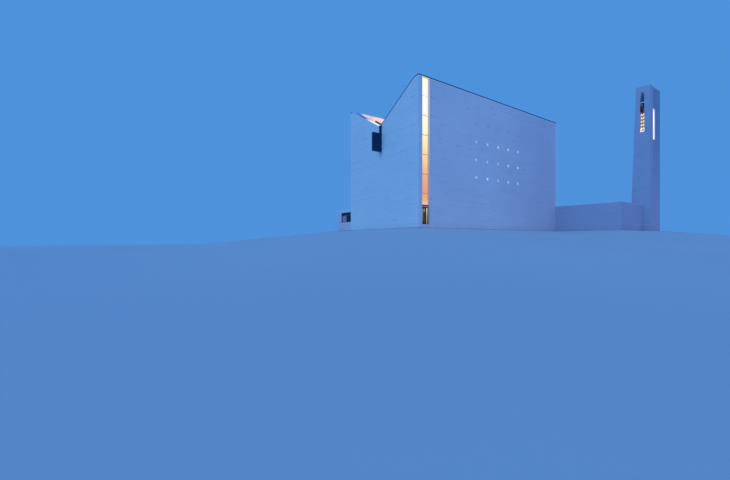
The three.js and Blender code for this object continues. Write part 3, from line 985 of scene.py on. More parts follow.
def settle(name: str) -> Part:
    """Names a new primitive, and puts its place and size into its mesh.

    Args:
        name: The part's name.

    Returns:
        The part.
    """
    made = bpy.context.object
    made.name = name
    made.data.name = name
    bpy.ops.object.transform_apply(location=True, rotation=True, scale=True)
    return made


def block(name: str, x: Range, y: Range, z: Range, edge: float = 0.0, segments: int = 1) -> Part:
    """Sets out a block by its stretch along each axis.

    Args:
        name: The part's name.
        x: From its left to its right.
        y: From its front to its back.
        z: From its foot to its head.
        edge: How wide its edges are bevelled, if they are.
        segments: How many steps the bevels have.

    Returns:
        The block.
    """
    take()
    centre = (x.middle, y.middle, z.middle)
    bpy.ops.mesh.primitive_cube_add(size=1.0, location=centre, scale=(x.length, y.length, z.length))
    return ease(settle(name), edge, segments)


def rod(
    name: str, start: Point, end: Point, radius: float, sides: int, edge: float = 0.0, segments: int = 1
) -> Part:
    """Sets out a round rod between two points.

    Args:
        name: The part's name.
        start: The middle of one end.
        end: The middle of the other end.
        radius: The rod's radius.
        sides: How many sides it is divided into.
        edge: How wide its edges are bevelled, if they are.
        segments: How many steps the bevels have.

    Returns:
        The rod.
    """
    take()
    line = Vector(end) - Vector(start)
    bpy.ops.mesh.primitive_cylinder_add(
        vertices=sides,
        radius=radius,
        depth=line.length,
        location=Vector(start) + line / 2,
        rotation=line.to_track_quat("Z", "Y").to_euler(),
    )
    return ease(settle(name), edge, segments)


def ring(
    name: str, x: Range, y: Range, z: Range, axis: Axis, width: float, edge: float = 0.0, segments: int = 1
) -> Part:
    """Sets out a flat ring: a block inset on both faces across an axis and bridged open.

    Args:
        name: The part's name.
        x: From its left to its right.
        y: From its front to its back.
        z: From its foot to its head.
        axis: The axis that one looks along, through the ring.
        width: How wide the ring's bars are.
        edge: How wide its edges are bevelled, if they are.
        segments: How many steps the bevels have.

    Returns:
        The ring.
    """
    made = block(name, x, y, z)
    with shaping(made):
        pick(lambda centre, normal: abs(normal[axis.value]) > FACING)
        bpy.ops.mesh.inset(thickness=width)
        bpy.ops.mesh.bridge_edge_loops()
        face_out()
    return ease(made, edge, segments)


def spun(name: str, outline: list[Pair], centre: Point, steps: int) -> Part:
    """Spins an outline about an upright axis.

    Args:
        name: The part's name.
        outline: Pairs of distance from the axis and height over the centre, starting and ending on it.
        centre: The point on the axis that heights are measured from.
        steps: How many steps make the full turn.

    Returns:
        The closed, turned part.
    """
    take()
    bpy.ops.mesh.primitive_plane_add(size=0.01)
    made = settle(name)
    with shaping(made, "VERT"):
        bpy.ops.mesh.select_all(action="SELECT")
        bpy.ops.mesh.merge(type="CENTER")
        bpy.ops.transform.translate(value=Vector(centre) + Vector((outline[0][0], 0.0, outline[0][1])))
        for (out0, up0), (out1, up1) in zip(outline, outline[1:]):
            step = (out1 - out0, 0.0, up1 - up0)
            bpy.ops.mesh.extrude_region_move(TRANSFORM_OT_translate={"value": step})
        bpy.ops.mesh.select_all(action="SELECT")
        bpy.ops.mesh.spin(steps=steps, angle=math.tau, center=centre, axis=UP)
        bpy.ops.mesh.select_all(action="SELECT")
        bpy.ops.mesh.remove_doubles(threshold=1e-5)
        face_out()
    bpy.ops.object.shade_smooth_by_angle(angle=SMOOTH_EDGE)
    return made


@contextmanager
def shaping(part: Part, mode: str = "FACE") -> Iterator[None]:
    """Opens a part for edit-mode tools, with nothing of it selected.

    Args:
        part: The part.
        mode: What the tools select.

    Yields:
        Nothing, while the part is open.
    """
    take(part)
    bpy.ops.object.mode_set(mode="EDIT")
    bpy.ops.mesh.select_mode(type=mode)
    bpy.ops.mesh.select_all(action="DESELECT")
    yield
    bpy.ops.object.mode_set(mode="OBJECT")


def pick(test: Callable[[Vector, Vector], bool]) -> None:
    """Selects the faces that pass a test.

    Args:
        test: Says yes or no from a face's centre and normal.
    """
    mesh = bpy.context.edit_object.data
    edited = bmesh.from_edit_mesh(mesh)
    for face in edited.faces:
        face.select_set(bool(test(face.calc_center_median(), face.normal)))
    bmesh.update_edit_mesh(mesh)


def pick_edges(test: Callable[[Vector, Vector], bool]) -> None:
    """Selects the edges that pass a test.

    Args:
        test: Says yes or no from an edge's middle and direction.
    """
    mesh = bpy.context.edit_object.data
    edited = bmesh.from_edit_mesh(mesh)
    for edge in edited.edges:
        first, second = (corner.co for corner in edge.verts)
        edge.select_set(bool(test((first + second) / 2, (second - first).normalized())))
    bmesh.update_edit_mesh(mesh)


def face_out() -> None:
    """Turns all faces of the part that is open outwards."""
    bpy.ops.mesh.select_all(action="SELECT")
    bpy.ops.mesh.normals_make_consistent(inside=False)


def ease(part: Part, width: float, segments: int = 1) -> Part:
    """Bevels the sharp edges of a part, and shades its round stretches smooth.

    Args:
        part: The part.
        width: How wide the bevels are. With none, the part stays as it is.
        segments: How many steps they have.

    Returns:
        The part.
    """
    if width:
        with shaping(part, "EDGE"):
            bpy.ops.mesh.edges_select_sharp(sharpness=SHARP_EDGE)
            bpy.ops.mesh.bevel(offset=width, segments=segments, affect="EDGES")
        bpy.ops.object.shade_smooth_by_angle(angle=SMOOTH_EDGE)
    return part


def chamfer(part: Part, test: Callable[[Vector, Vector], bool], width: float, segments: int = 1) -> None:
    """Bevels only the edges that pass a test.

    Args:
        part: The part.
        test: Says yes or no from an edge's middle and direction.
        width: How wide the bevels are.
        segments: How many steps they have.
    """
    with shaping(part, "EDGE"):
        pick_edges(test)
        bpy.ops.mesh.bevel(offset=width, segments=segments, affect="EDGES")


def press(
    part: Part, way: Point, inset: float = 0.0, move: Point | None = None, pull: Point | None = None
) -> None:
    """Insets the faces that look one way, moves them, and pulls them on with new sides.

    Args:
        part: The part.
        way: The way that the faces look.
        inset: How far they are inset, if they are.
        move: How far they are moved, if they are.
        pull: How far they are then extruded, if they are.
    """
    with shaping(part):
        pick(lambda centre, normal: normal.dot(Vector(way)) > FACING)
        if inset:
            bpy.ops.mesh.inset(thickness=inset)
        if move:
            bpy.ops.transform.translate(value=move)
        if pull:
            bpy.ops.mesh.extrude_region_move(TRANSFORM_OT_translate={"value": pull})


def repeat(part: Part, count: int, axis: Axis, pitch: float) -> Part:
    """Repeats a part in a row, and applies the row.

    Args:
        part: The part.
        count: How many there are in the row.
        axis: The axis that the row runs along.
        pitch: How far each one is from the last.

    Returns:
        The row.
    """
    take(part)
    bpy.ops.object.modifier_add(type="ARRAY")
    row = part.modifiers[-1]
    row.use_relative_offset = False
    row.use_constant_offset = True
    row.constant_offset_displace = [pitch if axis.value == place else 0.0 for place in range(3)]
    row.count = count
    bpy.ops.object.modifier_apply(modifier=row.name)
    return part


def turn(part: Part, angle: float, axis: Axis, centre: Point = (0.0, 0.0, 0.0)) -> Part:
    """Turns a part by the right-hand rule.

    Args:
        part: The part.
        angle: How far it turns.
        axis: The axis that it turns about.
        centre: A point on that axis.

    Returns:
        The part.
    """
    with shaping(part):
        bpy.ops.mesh.select_all(action="SELECT")
        bpy.ops.transform.rotate(value=-angle, orient_axis=axis.name, center_override=centre)
    return part


def shift(part: Part, step: Point) -> Part:
    """Moves a part's whole mesh.

    Args:
        part: The part.
        step: How far it moves.

    Returns:
        The part.
    """
    with shaping(part):
        bpy.ops.mesh.select_all(action="SELECT")
        bpy.ops.transform.translate(value=step)
    return part


def merge(name: str, *parts: Part) -> Part:
    """Joins parts into one piece.

    Args:
        name: The piece's name.
        *parts: The parts.

    Returns:
        The piece.
    """
    take(*parts)
    if len(parts) > 1:
        bpy.ops.object.join()
    parts[0].name = name
    parts[0].data.name = name
    return parts[0]


def install(
    piece: Part, finish: Finish, body: Body = Body.BUILDING, replaces: str | None = None
) -> None:
    """Gives a finished piece its material, its body and the node that it stands for.

    Args:
        piece: The piece, whose place is in its mesh.
        finish: What it is made of.
        body: The body that it moves with.
        replaces: The node that it stands for, if there is one.
    """
    piece.data.materials.clear()
    piece.data.materials.append(finish.material())
    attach(piece, body.value)
    if replaces:
        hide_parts(replaces)
    LOG.info("%s: %d faces on %s", piece.name, len(piece.data.polygons), body.value)


def dress(finish: Finish, *nodes: str) -> None:
    """Gives nodes that keep their shape a better finish.

    Args:
        finish: What they are made of.
        *nodes: The nodes.
    """
    for name in nodes:
        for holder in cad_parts[name].material_slots:
            holder.material = finish.material()
        LOG.info("%s: %s", name, finish.name)


@dataclass
class Masonry:
    """The white walls, the floors and the coverings of the low walls."""

    coping_height: float = 0.014
    coping_lip: float = 0.008
    plate_width: float = 0.06
    plate_height: float = 0.003
    joint_pitch: float = 1.2

    def build(self) -> None:
        """Dresses the walls and floors, and caps the courtyard wall."""
        dress(WALL, "near_gable_wall", "far_gable_wall", "back_long_wall", "corner_pier", "door_threshold")
        dress(WALL, "wing_roof")
        dress(WING_WALL_PAINTED_LIGHT, "wing_near_wall", "wing_far_wall", "wing_side_wall")
        dress(TOWER_WALL, "courtyard_wall_side", "courtyard_wall_front")
        dress(LONG_WALL, "front_long_wall")
        dress(FLOOR, "nave_floor", "wing_floor")
        self.coping("courtyard_wall_side", Axis.Y, Axis.X)
        self.coping("courtyard_wall_front", Axis.X, Axis.Y)

    def coping(self, node: str, along: Axis, across: Axis) -> None:
        """Folds a sheet coping over a low wall, with a cover plate on each joint.

        Args:
            node: The wall.
            along: The axis that it runs along.
            across: The axis that goes through it.
        """
        wall = Span.of(node)
        lip = self.coping_lip
        reach = {Axis.X: wall.x, Axis.Y: wall.y, Axis.Z: wall.z.from_high(-2.5 * lip, self.coping_height)}
        reach[across] = reach[across].cut(-lip)
        sheet = block("coping_sheet", *reach.values())
        press(sheet, DOWN, inset=0.8 * lip, move=(0.0, 0.0, 2.4 * lip))
        ease(sheet, BOARD_EDGE)
        count = max(1, int(reach[along].length / self.joint_pitch))
        step = reach[along].length / count
        reach[along] = Range.around(reach[along].low + step / 2, self.plate_width)
        reach[across] = reach[across].cut(-0.25 * lip)
        reach[Axis.Z] = Range(reach[Axis.Z].low, reach[Axis.Z].high + self.plate_height)
        plate = block("coping_plate", *reach.values(), edge=BAR_EDGE)
        repeat(plate, count, along, step)
        install(merge(f"{node}_coping", sheet, plate), WHITE_METAL)


@dataclass(frozen=True)
class Pane:
    """One pane in a wall: its stretch along the wall, and the one up it."""

    run: Range
    rise: Range


@dataclass(frozen=True)
class Glazing:
    """Beads that hold panes in their frame, all in one plane."""

    axis: Axis
    depth: Range
    width: float

    def bead(self, pane: Pane) -> Part:
        """One bead.

        Args:
            pane: The pane that it goes round.

        Returns:
            The bead.
        """
        run = pane.run.cut(SEAL)
        x, y = (run, self.depth) if self.axis is Axis.Y else (self.depth, run)
        return ring("bead", x, y, pane.rise.cut(SEAL), self.axis, self.width, edge=0.3 * self.width)

    def beads(self, name: str, panes: list[Pane]) -> Part:
        """The beads round all the panes, as one piece."""
        return merge(name, *[self.bead(pane) for pane in panes])


@dataclass
class SlotWindow:
    """The tall lit slot in the long wall: its panes, caps on its bars, beads and the transom's parts."""

    opening: Span = Span.of("slot_frame")
    transom: Span = Span.of("slot_transom")
    first_bar: float = 2.07
    bar_pitch: float = 1.185
    bar_count: int = 6
    bar_height: float = 0.035
    rail: float = 0.025
    cap_depth: float = 0.01
    cap_margin: float = 0.002
    cap_chamfer: float = 0.004
    bead_setback: float = 0.014
    bead_width: float = 0.006
    screw_radius: float = 0.0055
    screw_inset: float = 0.06
    screw_height: float = 0.007
    soffit_height: float = 0.012
    sill_height: float = 0.012
    nose_reach: float = 0.03
    strip_height: float = 0.05
    strip_depth: float = 0.012

    def build(self) -> None:
        """Dresses the slot's nodes and adds its pieces."""
        reach = Span.of("slot_glass").z
        # The frame's and beads' metal takes painted light from the slot's panes, by height
        metal = GradedMetal("slot_frame_metal", reach, SLOT_STOPS, 0.92)
        dress(Glow("slot_glow", reach, SLOT_STOPS), "slot_glass")
        dress(metal, "slot_frame")
        self.caps()
        depth = Range(self.opening.front + self.bead_setback, self.opening.back)
        glazing = Glazing(Axis.Y, depth, self.bead_width)
        install(glazing.beads("slot_beads", self.panes()), metal)
        self.soffit()
        self.transom_parts()

    def panes(self) -> list[Pane]:
        """The slot's panes, from the foot up.

        Returns:
            The panes between its rails and bars.
        """
        rise = self.opening.z.cut(self.rail)
        centres = [self.first_bar + bar * self.bar_pitch for bar in range(self.bar_count)]
        bars = [Range.around(centre, self.bar_height) for centre in centres]
        feet = [rise.low] + [bar.high for bar in bars]
        heads = [bar.low for bar in bars] + [rise.high]
        return [Pane(self.opening.x.cut(self.rail), Range(*ends)) for ends in zip(feet, heads)]

    def caps(self) -> None:
        """A chamfered cap with two screws on each bar."""
        run = self.opening.x.cut(self.rail)
        rise = Range.around(self.first_bar, self.bar_height - 2 * self.cap_margin)
        cap = block("cap", run, self.opening.y.from_low(-self.cap_depth, 0.0), rise)
        press(cap, AHEAD, inset=self.cap_chamfer, move=(0.0, -self.cap_chamfer, 0.0))
        parts = [ease(cap, SHEET_EDGE)]
        front = self.opening.front - self.cap_depth
        for x in run.cut(self.screw_inset):
            start, end = (x, front - self.screw_height, self.first_bar), (x, front, self.first_bar)
            parts.append(rod("screw", start, end, self.screw_radius, 8, edge=FINE_EDGE))
        caps = merge("slot_bar_caps", *parts)
        repeat(caps, self.bar_count, Axis.Z, self.bar_pitch)
        # The caps' metal takes painted light from the slot's panes, by height
        install(caps, GradedMetal("slot_bar_metal", self.opening.z, BAR_STOPS, 0.85))

    def soffit(self) -> None:
        """The pale lining under the eave over the slot, with the slot's light painted on it."""
        depth = Range(Span.of("front_long_wall").front + 0.004, self.opening.front - SEAL)
        rise = self.opening.z.from_high(-self.soffit_height, -SEAL / 2)
        board = block("slot_soffit", self.opening.x.cut(SEAL), depth, rise, edge=BAR_EDGE)
        reach = self.opening.z.from_high(-self.soffit_height, 0.0)
        install(board, GradedMetal("slot_soffit_metal", reach, SOFFIT_STOPS, 0.9))

    def transom_parts(self) -> None:
        """A folded sill with a drip that sheds water over the transom, and a pale strip along its middle, all
        with painted light from the slot.
        """
        metal = GradedMetal("weathered_transom", self.transom.z, TRANSOM_STOPS, 0.6)
        dress(metal, "slot_transom")
        nose = self.transom.y.from_low(-self.nose_reach, 0.0)
        rise = self.transom.z.from_high(-self.sill_height, 0.0)
        sill = block("slot_sill", self.transom.x, nose, rise)
        press(sill, AHEAD, move=(0.0, 0.0, -0.01), pull=(0.0, -0.003, -0.014))
        install(ease(sill, SHEET_EDGE), metal)
        depth = self.transom.y.from_low(-self.strip_depth, 0.0)
        rise = Range.around(self.transom.z.middle, self.strip_height)
        strip = block("transom_strip", self.transom.x.cut(0.004), depth, rise)
        face = depth.low + 0.002
        chamfer(strip, lambda middle, way: abs(way.x) > FACING and middle.y < face, 0.009, 3)
        # The strip's lilac is painted light
        lilac = GradedMetal("weathered_strip", self.transom.z, STRIP_STOPS, 0.8)
        install(ease(strip, FINE_EDGE), lilac)


@dataclass
class FootDoor:
    """The boarded door at the slot's foot, its frame and the lit strip beside it."""

    door: Span = Span.of("door_leaf")
    grip: Span = Span.of("door_handle")
    boards: int = 5
    stile: float = 0.042
    skin: float = 0.007
    groove: float = 0.003
    pane_rim: float = 0.008
    side_pane: Pane = Pane(Range(-7.385, -7.285), Range(0.33, 1.15))
    vision_pane: Pane = Pane(Range(-7.25, -7.185), Range(0.91, 1.15))
    pull_radius: float = 0.007
    post_inset: float = 0.05
    kick_margin: float = 0.012
    kick_height: float = 0.11
    lock_drop: float = 0.035
    bead_depth: float = 0.008
    bead_width: float = 0.005
    ribs: int = 5
    rib_pitch: float = 0.008

    def build(self) -> None:
        """Dresses the frame and builds the leaf and its fittings."""
        dress(WHITE_METAL, "hinge_jamb")
        dress(STEEL, "door_post", "sidelight_jamb")
        dress(Glow("sidelight_glow", Span.of("sidelight_glass").z, SIDELIGHT_STOPS), "sidelight_glass")
        self.leaf()
        self.leaf_pane("vision", self.vision_pane, VISION_STOPS)
        self.leaf_pane("side", self.side_pane, SIDE_PANE_STOPS)
        self.pull()
        self.kick_plate()
        self.lock()
        self.weather_bar()
        self.frame_parts()

    def leaf(self) -> None:
        """The leaf: a core between two rings of stiles and rails, filled with upright boards."""
        inner, rise = self.door.x.cut(self.stile), self.door.z.cut(self.stile)
        width = inner.length / self.boards
        run = inner.from_low(self.groove / 2, width - self.groove / 2)
        parts = [block("core", self.door.x, self.door.y.cut(self.skin), self.door.z, edge=FINE_EDGE)]
        for skin in (self.door.y.from_low(0.0, self.skin), self.door.y.from_high(-self.skin, 0.0)):
            rim = ring("rim", self.door.x, skin, self.door.z, Axis.Y, self.stile, edge=SHEET_EDGE, segments=2)
            board = block("board", run, Range(skin.low + 0.002, skin.high - 0.001), rise, edge=BAR_EDGE)
            parts += [rim, repeat(board, self.boards, Axis.X, width)]
        install(merge("boarded_leaf", *parts), DOOR_BOARDS, Body.DOOR, "door_leaf")

    def leaf_pane(self, name: str, pane: Pane, colours: Stops) -> None:
        """A small upright pane through the leaf, in its own slim frame.

        Args:
            name: What the pane is called.
            pane: Its place in the leaf, frame included.
            colours: The colours that it glows in, from its foot up.
        """
        rim, depth = self.pane_rim, self.door.y.cut(-0.002)
        border = ring(f"{name}_frame", pane.run, depth, pane.rise, Axis.Y, rim, edge=SHEET_EDGE)
        install(border, STEEL, Body.DOOR)
        glass = block(f"{name}_pane", pane.run.cut(rim), depth.cut(0.001), pane.rise.cut(rim), edge=0.0008)
        install(glass, Glow(f"{name}_pane_glow", pane.rise, colours), Body.DOOR)

    def pull(self) -> None:
        """A round pull bar on two posts with collars."""
        x, y = self.grip.x.middle, self.grip.front + self.pull_radius
        foot, head = (x, y, self.grip.foot), (x, y, self.grip.head)
        parts = [rod("bar", foot, head, self.pull_radius, 20, edge=BAR_EDGE, segments=2)]
        for z in self.grip.z.cut(self.post_inset):
            end = (x, self.grip.back + SEAL, z)
            parts.append(rod("post", (x, y, z), end, 0.0045, 12))
            start = (x, self.grip.back - 0.004, z)
            parts.append(rod("collar", start, end, 0.011, 20, edge=SHEET_EDGE, segments=2))
        install(merge("pull_bar", *parts), BRASS, Body.DOOR, "door_handle")

    def kick_plate(self) -> None:
        """The kick plate, with two rows of screws."""
        rise = self.door.z.from_low(self.kick_margin, self.kick_height)
        depth = self.door.y.from_low(-0.002, 0.001)
        plate = block("plate", self.door.x.cut(self.kick_margin), depth, rise, edge=FINE_EDGE)
        row = self.door.x.cut(0.03)
        z = self.door.foot + 0.025
        start, end = (row.low, self.door.front - 0.0035, z), (row.low, self.door.front, z)
        screw = rod("screw", start, end, 0.0035, 8, edge=0.0008)
        repeat(screw, 4, Axis.X, row.length / 3)
        repeat(screw, 2, Axis.Z, self.kick_height - 0.038)
        install(merge("kick_plate", plate, screw), KICK_METAL, Body.DOOR)

    def lock(self) -> None:
        """The lock's dished rose."""
        x, z = self.grip.x.middle, self.grip.foot - self.lock_drop
        rose = rod("lock_rose", (x, self.door.front - 0.004, z), (x, self.door.front + 0.001, z), 0.012, 24)
        press(rose, AHEAD, inset=0.006, move=(0.0, 0.0025, 0.0))
        install(ease(rose, FINE_EDGE), BRASS, Body.DOOR)

    def weather_bar(self) -> None:
        """The bar along the leaf's foot, sloped to shed the rain."""
        depth, rise = self.door.y.from_low(-0.014, 0.001), self.door.z.from_low(0.001, 0.012)
        bar = block("weather_bar", self.door.x.cut(0.006), depth, rise)
        near, top = depth.low + 0.001, rise.high - 0.001
        chamfer(bar, lambda middle, way: middle.y < near and middle.z > top, 0.008)
        install(ease(bar, 0.0006), STEEL, Body.DOOR)

    def frame_parts(self) -> None:
        """Rubber beads round the side pane, and a ribbed threshold strip."""
        pane = Span.of("sidelight_glass")
        glazing = Glazing(Axis.Y, pane.y.from_low(-self.bead_depth, 0.0), self.bead_width)
        install(glazing.beads("sidelight_beads", [Pane(pane.x, pane.z)]), RUBBER)
        run = Span.of("door_threshold").x.cut(0.01)
        depth = Span.of("hinge_jamb").y.from_low(-0.03, -0.024)
        rise = Span.of("nave_floor").z.from_high(0.0002, 0.0045)
        strip = block("threshold_strip", run, depth, rise, edge=FINE_EDGE)
        install(repeat(strip, self.ribs, Axis.Y, self.rib_pitch), BRUSHED)


@dataclass
class SmallWindows:
    """The grid of small square windows in one long wall: panes, slim frames and sills."""

    side: Side
    node: str
    columns: int = 5
    rows: int = 4
    size: float = 0.21
    frame_width: float = 0.013
    frame_depth: Range = Range(-0.041, -0.016)
    sill_depth: Range = Range(-0.03, 0.006)

    def build(self) -> None:
        """Dresses the panes and repeats one frame and one sill over the wall."""
        sheet = Span.of(self.node)
        pitch = (sheet.x.length - 2 * self.size) / (self.columns - 1)
        first_x, first_z = sheet.left + self.size, sheet.foot + self.size
        top_row = first_z + (self.rows - 1) * pitch
        dress(SmallPane(f"{self.node}_panes", pitch, first_x - pitch / 2, top_row - pitch / 2), self.node)
        way, wall = self.side.value, self.side.name.lower()
        face = -way * Span.of("front_long_wall").front
        run, rise = (Range.around(first, self.size - 2 * SEAL) for first in (first_x, first_z))
        depth = Range.off(face, way, *self.frame_depth)
        width = self.frame_width
        frames = ring(f"{wall}_window_frames", run, depth, rise, Axis.Y, width, edge=BAR_EDGE)
        depth = Range.off(face, way, *self.sill_depth)
        ledge = rise.from_low(-0.002, 0.005)
        sills = block(f"{wall}_window_sills", run.cut(-0.004), depth, ledge, edge=SHEET_EDGE)
        for part in (frames, sills):
            repeat(part, self.columns, Axis.X, pitch)
            repeat(part, self.rows, Axis.Z, pitch)
            install(part, WHITE_METAL)


@dataclass
class RoofShape:
    """The butterfly roof's line: two slopes that fall to the valley from rounded shoulders."""

    half_width: float
    eave_top: float
    slope: float = math.radians(30.6)
    radius: float = 1.35

    @property
    def shoulder(self) -> float:
        """How far from the valley the rounded shoulder starts, measured level."""
        return self.half_width - self.radius * math.sin(self.slope)

    @property
    def shoulder_top(self) -> float:
        """The height at the shoulder's start."""
        return self.eave_top - self.radius * (1 - math.cos(self.slope))

    @property
    def valley_top(self) -> float:
        """The height where both slopes would meet."""
        return self.shoulder_top - self.shoulder * math.tan(self.slope)

    def slope_length(self, reach: float) -> float:
        """The length along the slope from the valley to a level distance."""
        return reach / math.cos(self.slope)

    def lay(self, part: Part, side: Side) -> Part:
        """Tips a part that was made flat over the valley line up onto one slope."""
        turn(part, side.value * self.slope, Axis.X)
        return shift(part, (0.0, 0.0, self.valley_top))


@dataclass
class ButterflyRoof:
    """The solid wing with its standing seams, the shoulders and the thin metal edges."""

    shape: RoofShape
    seam_pitch: float = 0.25
    seam_width: float = 0.006
    seam_height: float = 0.0125
    shoulder_steps: int = 5
    strap_pitch: float = 1.2
    strap_width: float = 0.05
    strap_rise: Range = Range(-0.066, 0.004)
    strap_start: float = 0.55
    lit_strap_start: float = 2.3

    def build(self) -> None:
        """Dresses the roof's nodes and adds seams and joint straps."""
        dress(ROOFING, "roof_wing", "rooflight_shoulder")
        dress(TRIM, "near_verge_right", "far_verge_right", "front_eave_trim", "back_eave_trim")
        dress(VergeEdge("lit_verge_edge"), "near_verge_left", "far_verge_left")
        wing = Span.of("roof_wing")
        self.seams("roof_wing_seams", wing.x.length, Side.FRONT, Range(-wing.back, -wing.front))
        self.seams("shoulder_seams", wing.x.length, Side.BACK, Span.of("rooflight_shoulder").y)
        for gable in ("near", "far"):
            self.verge_straps(gable)
        for eave in ("front", "back"):
            self.eave_straps(eave)

    def seams(self, name: str, length: float, side: Side, reach: Range) -> None:
        """A row of seams along one wing of the roof: ribs up the slope, spun over its shoulder to the eave.

        Args:
            name: The row's name.
            length: The roof's length.
            side: The side of the valley that it is on.
            reach: The level distances from the valley between which the sheet lies.
        """
        shape, way = self.shape, side.value
        start = shape.slope_length(min(reach.low, shape.shoulder - 0.01))
        run = Range.off(0.0, way, start, shape.slope_length(shape.shoulder))
        rib = block(name, Range.around(0.0, self.seam_width), run, Range(-0.001, self.seam_height))
        shape.lay(rib, side)
        joint = Vector((0.0, way * shape.shoulder, shape.shoulder_top))
        near = self.seam_height
        with shaping(rib):
            pick(lambda centre, normal: abs(normal.x) < 0.1 and (centre - joint).length < near)
            bpy.ops.mesh.spin(
                steps=self.shoulder_steps,
                angle=shape.slope - math.asin((shape.half_width - reach.high) / shape.radius),
                axis=(way, 0.0, 0.0),
                center=(0.0, way * shape.half_width, shape.eave_top - shape.radius),
            )
            face_out()
        ease(rib, 0.0012)
        count = int(length / self.seam_pitch)
        shift(rib, (-(count - 1) * self.seam_pitch / 2, 0.0, 0.0))
        install(repeat(rib, count, Axis.X, self.seam_pitch), ROOFING)

    def verge_straps(self, gable: str) -> None:
        """Cover straps on the joints of one gable's edges.

        Args:
            gable: The gable's name.
        """
        shape = self.shape
        across = Span.of(f"{gable}_verge_right").x.cut(-0.003)
        straps = []
        for side, start in ((Side.FRONT, self.strap_start), (Side.BACK, self.lit_strap_start)):
            run = Range.off(0.0, side.value, start, start + self.strap_width)
            strap = block("strap", across, run, self.strap_rise, edge=SHEET_EDGE)
            count = 1 + int((shape.slope_length(shape.shoulder) - start) / self.strap_pitch)
            repeat(strap, count, Axis.Y, side.value * self.strap_pitch)
            straps.append(shape.lay(strap, side))
        install(merge(f"{gable}_verge_straps", *straps), TRIM)

    def eave_straps(self, eave: str) -> None:
        """Cover straps on the joints of one eave's edge.

        Args:
            eave: The eave's name.
        """
        edge = Span.of(f"{eave}_eave_trim")
        count = int(edge.x.length / self.strap_pitch)
        first = -(count - 1) * self.strap_pitch / 2
        run, rise = Range(first, first + self.strap_width), Range(edge.foot - 0.002, edge.head - 0.012)
        strap = block(f"{eave}_eave_straps", run, edge.y.cut(-0.003), rise, edge=SHEET_EDGE)
        install(repeat(strap, count, Axis.X, self.strap_pitch), TRIM)


@dataclass
class Rooflight:
    """The glazed wing: lit panes under caps, cross bars and flashings."""

    shape: RoofShape
    glass: Span = Span.of("rooflight_glass")
    bays: int = 12
    rail: float = 0.09
    rise: float = 0.0353
    cap_width: float = 0.044
    cap_height: float = 0.01
    cross_bars: int = 2
    cross_width: float = 0.03
    cross_height: float = 0.006
    sheet_height: float = 0.006
    foot_lap: float = 0.06
    head_lap: float = 0.12
    head_reach: float = 0.03

    @cached_property
    def run(self) -> Range:
        """Where the glass starts and ends along the slope."""
        return Range(self.shape.slope_length(self.glass.front), self.shape.slope_length(self.glass.back))

    @cached_property
    def metal(self) -> RoofGlow:
        """The caps' metal, with the glass's light and the beam's shadow painted on it."""
        near = self.glass.left
        return RoofGlow("rooflight_cap_metal", self.glass.y, ROOFLIGHT_STOPS, 0.85, 0.4, near=near)

    def over(self, height: float) -> Range:
        """From the glass's top to a height over it, measured squarely."""
        lift = self.rise * math.cos(self.shape.slope)
        return Range(lift - SEAL, lift + height)

    def build(self) -> None:
        """Dresses the rooflight's nodes and adds caps, cross bars and flashings."""
        glow = RoofGlow("rooflight_glow", self.glass.y, ROOFLIGHT_STOPS, near=self.glass.left)
        dress(glow, "rooflight_glass")
        dress(CHAMPAGNE, "rooflight_frame")
        self.caps()
        self.crossings()
        self.flashing("rooflight_foot_flashing", self.run.from_low(SEAL, self.foot_lap), TRIM)
        head = self.run.from_high(-self.head_lap, self.head_reach)
        self.flashing("rooflight_head_flashing", head, self.metal)

    def caps(self) -> None:
        """A chamfered cap over every bar of the frame, down the slope."""
        across = Range.around(self.glass.left + self.rail / 2, self.cap_width)
        run = Range(self.run.low + self.foot_lap, self.run.high - self.head_lap)
        rise = self.over(self.cap_height)
        cap = block("rooflight_caps", across, run, rise)
        chamfer(cap, lambda middle, way: abs(way.y) > FACING and middle.z > rise.middle, 0.006, 2)
        ease(cap, 0.0008)
        repeat(cap, self.bays + 1, Axis.X, (self.glass.x.length - self.rail) / self.bays)
        install(self.shape.lay(cap, Side.BACK), self.metal)

    def crossings(self) -> None:
        """Slim caps across the glass, where one row of panes meets the next."""
        step = self.run.length / (self.cross_bars + 1)
        run = Range.around(self.run.low + step, self.cross_width)
        across, rise = self.glass.x.cut(self.rail), self.over(self.cross_height)
        bar = block("rooflight_cross_bars", across, run, rise, edge=BAR_EDGE)
        repeat(bar, self.cross_bars, Axis.Y, step)
        install(self.shape.lay(bar, Side.BACK), self.metal)

    def flashing(self, name: str, run: Range, finish: Finish) -> None:
        """A folded sheet across the foot or the head of the glass.

        Args:
            name: The sheet's name.
            run: Its stretch up the slope.
            finish: What it is made of.
        """
        sheet = block(name, self.glass.x, run, self.over(self.sheet_height), edge=0.0025, segments=2)
        install(self.shape.lay(sheet, Side.BACK), finish)


